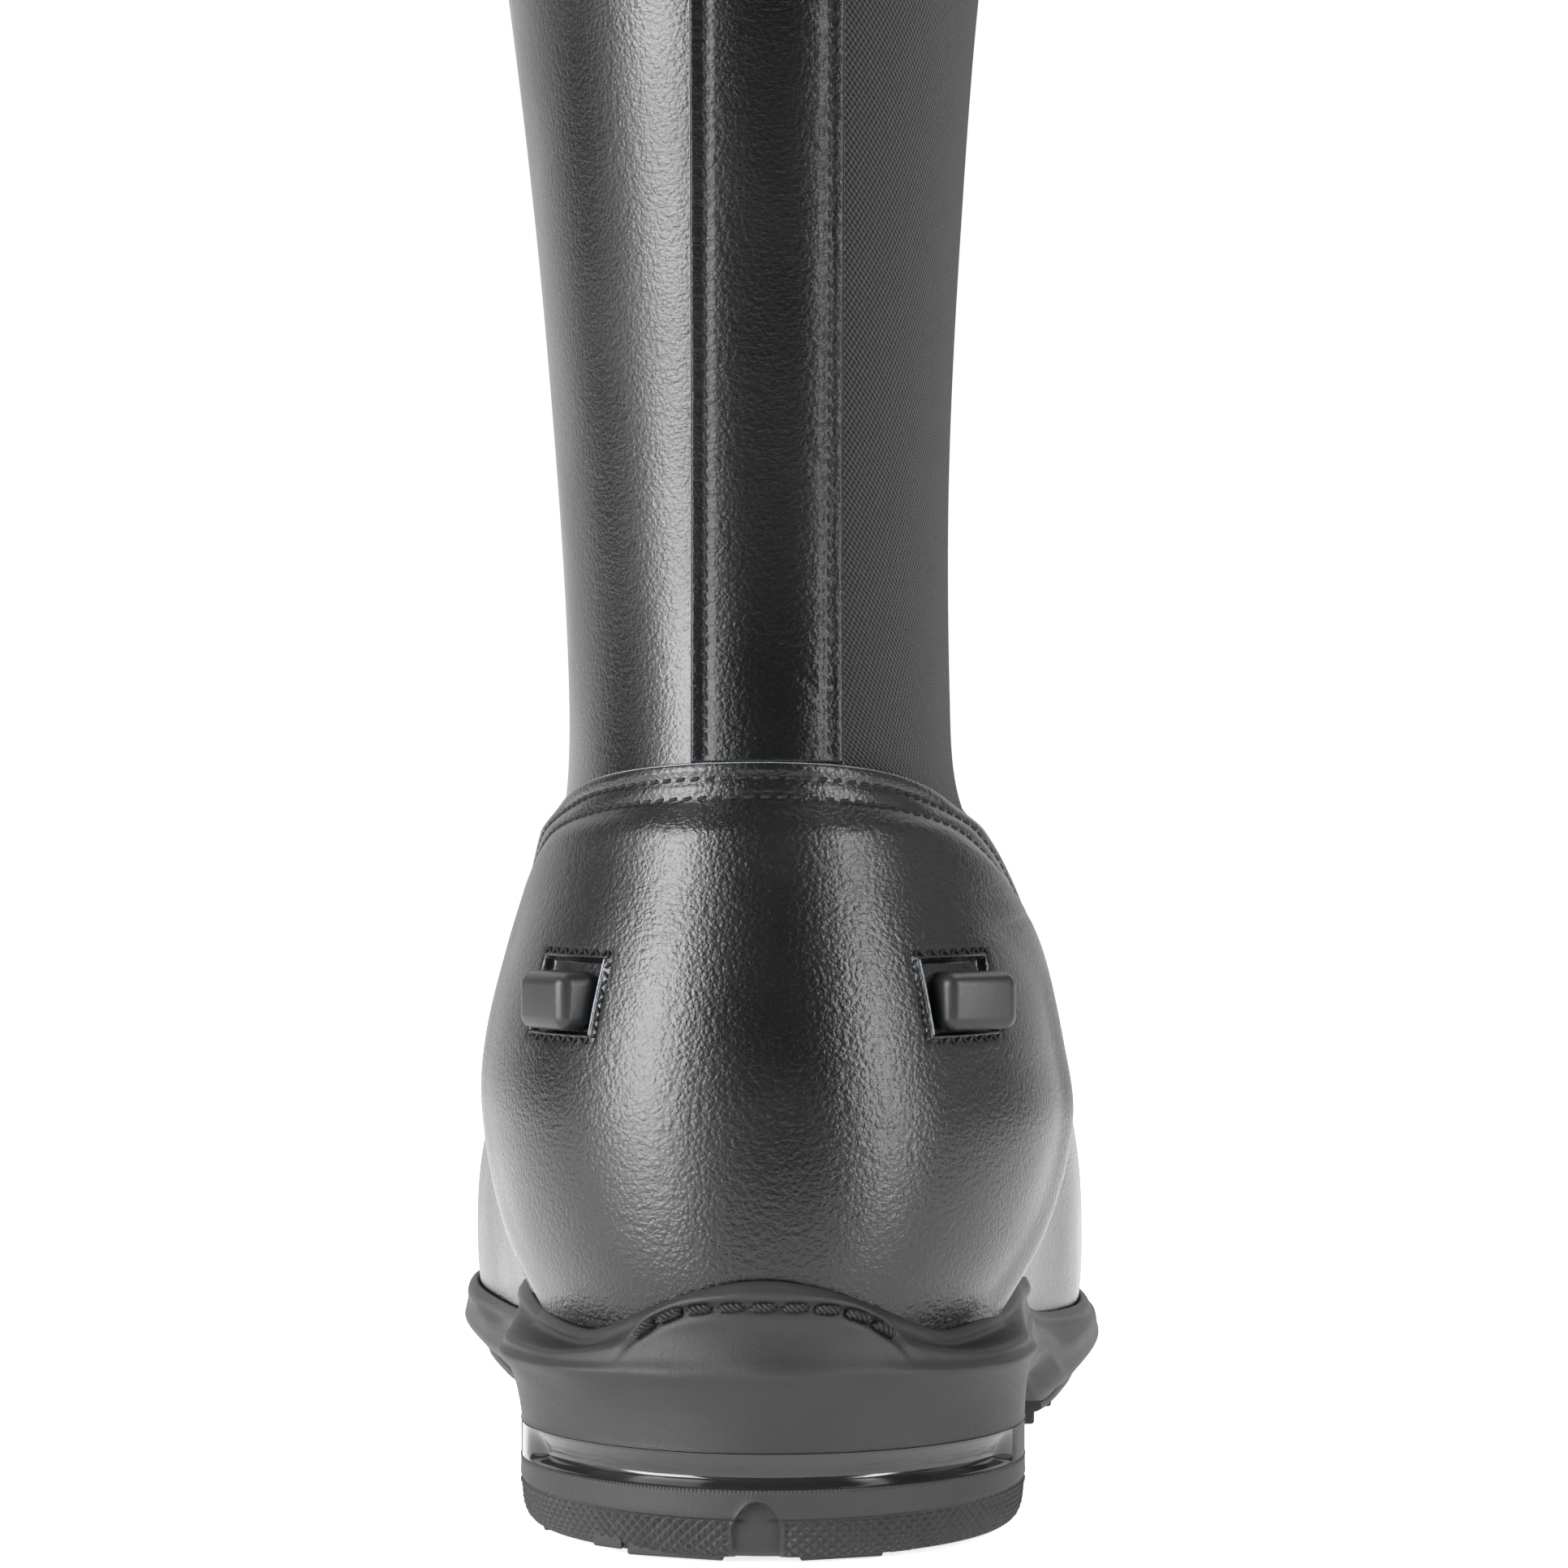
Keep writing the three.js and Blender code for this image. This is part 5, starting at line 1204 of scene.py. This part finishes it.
def heel():
    columns, steps = 1300, 110
    g, turn = heel_turn(columns)
    x = np.cos(turn) * HEEL_HALF
    # The glossy cushion: a hollow band that runs out flush at both ends.
    s = np.linspace(0, 1, 26)
    hollow = curve([[0, 0.15], [0.2, 0.42], [0.5, 0.85], [0.72, 1.0], [0.86, 0.7], [1, 0.1]])(s)
    fade = 1 - smooth((np.abs(x) - 34.2) / 2.2)
    fade[(g < HEEL_SIDE) | (g > 1 - HEEL_SIDE)] = 0
    pull = 1.25 + 1.7 * hollow[None, :] * fade[:, None]
    band = ring_body("heel_cushion_band", heel_ring(pull, mix(14.75, 10.0, s)[None, :], columns), [CUSHION, RUBBER],
                     replaces="heel_cushion", slot="cushion_gloss")
    at = np.zeros(len(band.data.polygons) * 3)
    band.data.polygons.foreach_get("center", at)
    plain_end = (np.abs(at[0::3]) > 0.0348) | (at[1::3] > -0.006)
    band.data.polygons.foreach_set("material_index", plain_end.astype(np.int32))
    # The lower block, its knurled edge and the shallow arch in the middle of the back.
    section = spline(np.array([[3.0, 10.05], [1.5, 10.0], [1.25, 9.7], [1.2, 8.4], [1.15, 7.0], [1.2, 6.2],
                               [1.35, 5.7], [1.45, 4.7], [1.6, 3.4], [1.95, 2.2], [2.6, 1.2], [3.8, 0.5],
                               [6.0, 0.35], [11, 0.35]]), steps)
    pull = np.broadcast_to(section[:, 0], (columns, steps)).copy()
    z = np.broadcast_to(section[:, 1], (columns, steps))
    from_arch = np.abs(x - ARCH_X)[:, None]
    rear = np.where(np.sin(turn) > 0.5, 1, 0)[:, None]
    border = (5.75 + 1.1 * np.abs(np.cos(turn)) ** 3)[:, None]
    pull += 0.30 * bell(z, border, 0.22) * (1 - bell(from_arch, 0, 5.2) ** 4)
    # Knurl: crossed ridges on the slanted band.
    arc = (turn * 38)[:, None]
    down = 1.15 * np.concatenate([[0], np.cumsum(np.hypot(*np.diff(section, axis=0).T))])[None, :]
    pitch = 1.8
    ridge = lambda q: np.abs((q / pitch % 1) - 0.5) * 2
    diamond = np.minimum(ridge(arc + down), ridge(arc - down))
    knurled = smooth((border - z) / 0.3) * smooth((z - 0.6) / 0.3)
    in_arch = smooth((4.4 - from_arch) / 0.8) * rear
    pull += knurled * (1 - in_arch) * (0.42 - 0.55 * diamond)
    # The arch is pressed in behind the border.
    arch_top = 8.5 - 0.2604 * from_arch ** 2
    inside = smooth((arch_top - z) / 0.35) * smooth((3.75 - from_arch) / 0.5) * rear
    flare = smooth((5.3 - from_arch) / 1.5) * smooth((6.4 - z) / 1.2) * rear
    rim = bell(np.sqrt(np.abs(arch_top - z)), 0, 0.75) * (from_arch < 3.9)
    pull += 1.15 * inside - 0.25 * (1 - inside) * rim + 0.35 * flare * (1 - inside)
    # Fine teeth along the upper edge.
    teeth = 0.10 * np.sign(np.sin(arc * 2 * PI / 0.62)) * bell(z, 9.85, 0.3)
    ring_body("heel_tread_block", heel_ring(pull + teeth, z, columns), TREAD, replaces="heel_tread",
              slot="sole_rubber")
    parts = [lug(size, at) for size, at in (((26, 22), (0, 0)), ((18, 10), (0, -20)), ((18, 12), (-20, 24)),
                                            ((18, 12), (20, 24)))]
    # Curved lugs behind the knurled edge, and shorter ones up both sides.
    for x0, x1, low, reach in ((5.0, 16.3, 0.0, 34.3), (17.0, 20.4, 0.45, 34.6), (21.0, 25.0, 0.9, 34.4),
                               (-18.6, -5.4, 0.0, 34.3), (-23.4, -19.3, 0.6, 34.4)):
        v, f = round_box((x1 - x0, 9.0, LUG_HEIGHT), 0.35, 4)
        x_at = v[:, 0] + (x0 + x1) / 2
        radius = reach - 4.5 + v[:, 1]
        turn_at = np.arccos(np.clip(x_at / reach, -0.98, 0.98))
        parts.append((np.stack([x_at * (radius / reach) ** 0.4, -np.sin(turn_at) * radius,
                                v[:, 2] + LUG_HEIGHT / 2 + low], -1), f))
    parts += [lug((8, 10), at, 0.4) for at in ((-27.0, -5.0), (28.5, -5.0), (-28.5, 9.0), (29.5, 9.0))]
    make("heel_lugs", *joined(parts), TREAD, slot="sole_rubber")

def forefoot():
    y = np.concatenate([[86, 86.3, 87], np.linspace(88.5, 240, 90), [243, 245.5, 247.3, 248.4, 249]])
    past = np.maximum(y - TOE_Y, 0)
    rim = np.maximum(1 - (past / 52.5) ** 2.1, 0.004) ** (1 / 2.1)
    inside = np.minimum(y, TOE_Y)
    left, right = (sole_medial(inside) - 4.2) * rim, (sole_lateral(inside) - 4.2) * rim
    cx = foot_centre(y)
    low = np.maximum(sole_bottom(y) - 2.6, 2.2)
    high = sole_bottom(y) + 0.8
    angle = np.linspace(0, 2 * PI, 64, endpoint=False)
    c, s = np.cos(angle), np.sin(angle)
    wide = np.sign(c) * np.abs(c) ** 0.25
    tall = np.sign(s) * np.abs(s) ** 0.55
    half = np.where(wide[None, :] < 0, left[:, None], right[:, None])
    p = np.stack([cx[:, None] + wide[None, :] * half, np.broadcast_to(y[:, None], half.shape),
                  ((high + low) / 2)[:, None] + tall[None, :] * ((high - low) / 2)[:, None]], -1)
    rows, columns = p.shape[:2]
    faces = [quads(rows, columns, loop_columns=True)]
    k = np.arange(31)
    for base in (0, (rows - 1) * columns):
        faces.append(np.stack([base + k, base + k + 1, base + 62 - k, base + 63 - k], -1))
    parts = [(p.reshape(-1, 3), np.concatenate(faces))]
    for row in (97, 117, 137, 157, 177):
        a, b = float(sole_medial(row)) - 8, float(sole_lateral(row)) - 8
        parts += [lug((w, 12), (x, row)) for x, w in ((-a + 8, 16), (b - 8, 16), ((b - a) / 2, 22))]
    for row, wide in ((196, 20), (214, 16), (231, 12)):
        v, f = round_box((wide * 2, 9, 2.6), 0.5, 4)
        parts.append((v + [float(foot_centre(row)), row, float(sole_bottom(row)) - 1.9], f))
    make("forefoot_tread_block", *joined(parts), TREAD, replaces="forefoot_tread", slot="sole_rubber", crisp=50)

# ---------------------------------------------------------------- build

for build in (shaft, strip, top_edge, front_seams, zip_parts, snap_tab, vamp, counter, cup, heel, forefoot):
    build()

CARRIED = {"counter_stiffener": STIFF, "toe_puff": STIFF, "insole_board": BOARD, "footbed": FELT, "shank": STEEL,
           "vamp_lining": LINING, "heel_lining": LINING, "zip_bottom_stop": METAL, "zip_slider": METAL,
           "zip_pull_tab": METAL, "snap_stud": METAL, "snap_cap": METAL}
stood_for = {n for o in bpy.context.scene.objects for n in o.get("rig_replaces", [])}
for name, o in frame["nodes"].items():
    if name in stood_for:
        continue
    o.data.materials.clear()
    o.data.materials.append(CARRIED[name])
    weld = o.modifiers.new("weld", "WELD")
    weld.merge_threshold = 0.00002
    if CARRIED[name] is METAL:
        bevel = o.modifiers.new("bevel", "BEVEL")
        bevel.width, bevel.segments, bevel.limit_method = 0.0004, 3, "ANGLE"
        bevel.angle_limit = math.radians(35)
        bevel.harden_normals = True
    o.data.polygons.foreach_set("use_smooth", np.ones(len(o.data.polygons), bool))


# ---------------------------------------------------------------- stage, light and camera

def plain(name, colour, glow):
    n = Nodes(name)
    tint = n.colour(n.noise(n.place(1.0), 4.0), grey(colour), grey(colour * 0.99))
    return n.finish(tint, 0.95, Emission_Color=(1, 1, 1, 1), Emission_Strength=glow, Specular_IOR_Level=0.0)


PALE = plain("studio_pale", 0.80, 0.78)
BACK = plain("studio_back", 0.02, 1.0)


def stage_plane(name, size, at, material, turn=(0, 0, 0)):
    bpy.ops.mesh.primitive_plane_add(size=size, location=at, rotation=turn)
    o = bpy.context.object
    o.name = name
    o.data.materials.append(material)
    return o

floor = stage_plane("floor", 6, (0, 2.55, -0.0004), PALE)
backdrop = stage_plane("backdrop", 8, (0, 3.6, 1.5), BACK, (PI / 2, 0, 0))

world = bpy.data.worlds.new("studio")
bpy.context.scene.world = world
world.use_nodes = True
tree = world.node_tree
background = tree.nodes["Background"]
path = tree.nodes.new("ShaderNodeLightPath")
level = tree.nodes.new("ShaderNodeMapRange")
level.inputs["To Min"].default_value = 0.05
level.inputs["To Max"].default_value = 1.0
tree.links.new(path.outputs["Is Camera Ray"], level.inputs["Value"])
tree.links.new(level.outputs[0], background.inputs["Strength"])
background.inputs["Color"].default_value = (1, 1, 1, 1)


def soft_light(name, at, aim, size, power):
    data = bpy.data.lights.new(name, "AREA")
    data.shape = "RECTANGLE"
    data.size, data.size_y = size
    data.energy = power
    o = linked(name, data)
    o.location = at
    o.rotation_euler = (Vector(aim) - Vector(at)).to_track_quat("-Z", "Y").to_euler()
    o.visible_camera = False
    return o


soft_light("left_box", (-0.78, -0.50, 0.22), (0, 0.0, 0.14), (0.60, 1.2), 33)
soft_light("left_edge", (-1.0, -0.17, 0.25), (0, 0.02, 0.14), (0.8, 1.2), 3.0)
soft_light("right_box", (0.72, -0.53, 0.22), (0, 0.0, 0.14), (0.18, 1.2), 13)
soft_light("right_edge", (0.95, 0.15, 0.25), (0, 0.02, 0.14), (0.5, 1.2), 1.2)
soft_light("top_box", (0.0, 0.35, 1.25), (0, 0.15, 0.1), (1.2, 0.9), 11)

camera_data = bpy.data.cameras.new("camera")
camera_data.sensor_width = 36
camera_data.lens = 99.26
camera_data.clip_start = 0.02
camera_data.clip_end = 20
camera = linked("camera", camera_data)
camera.location = (0.0028, -0.618, 0.105)
camera.rotation_euler = (PI / 2, 0, 0)
bpy.context.scene.camera = camera
bpy.context.scene.view_settings.view_transform = "Standard"
bpy.context.scene.view_settings.look = "None"
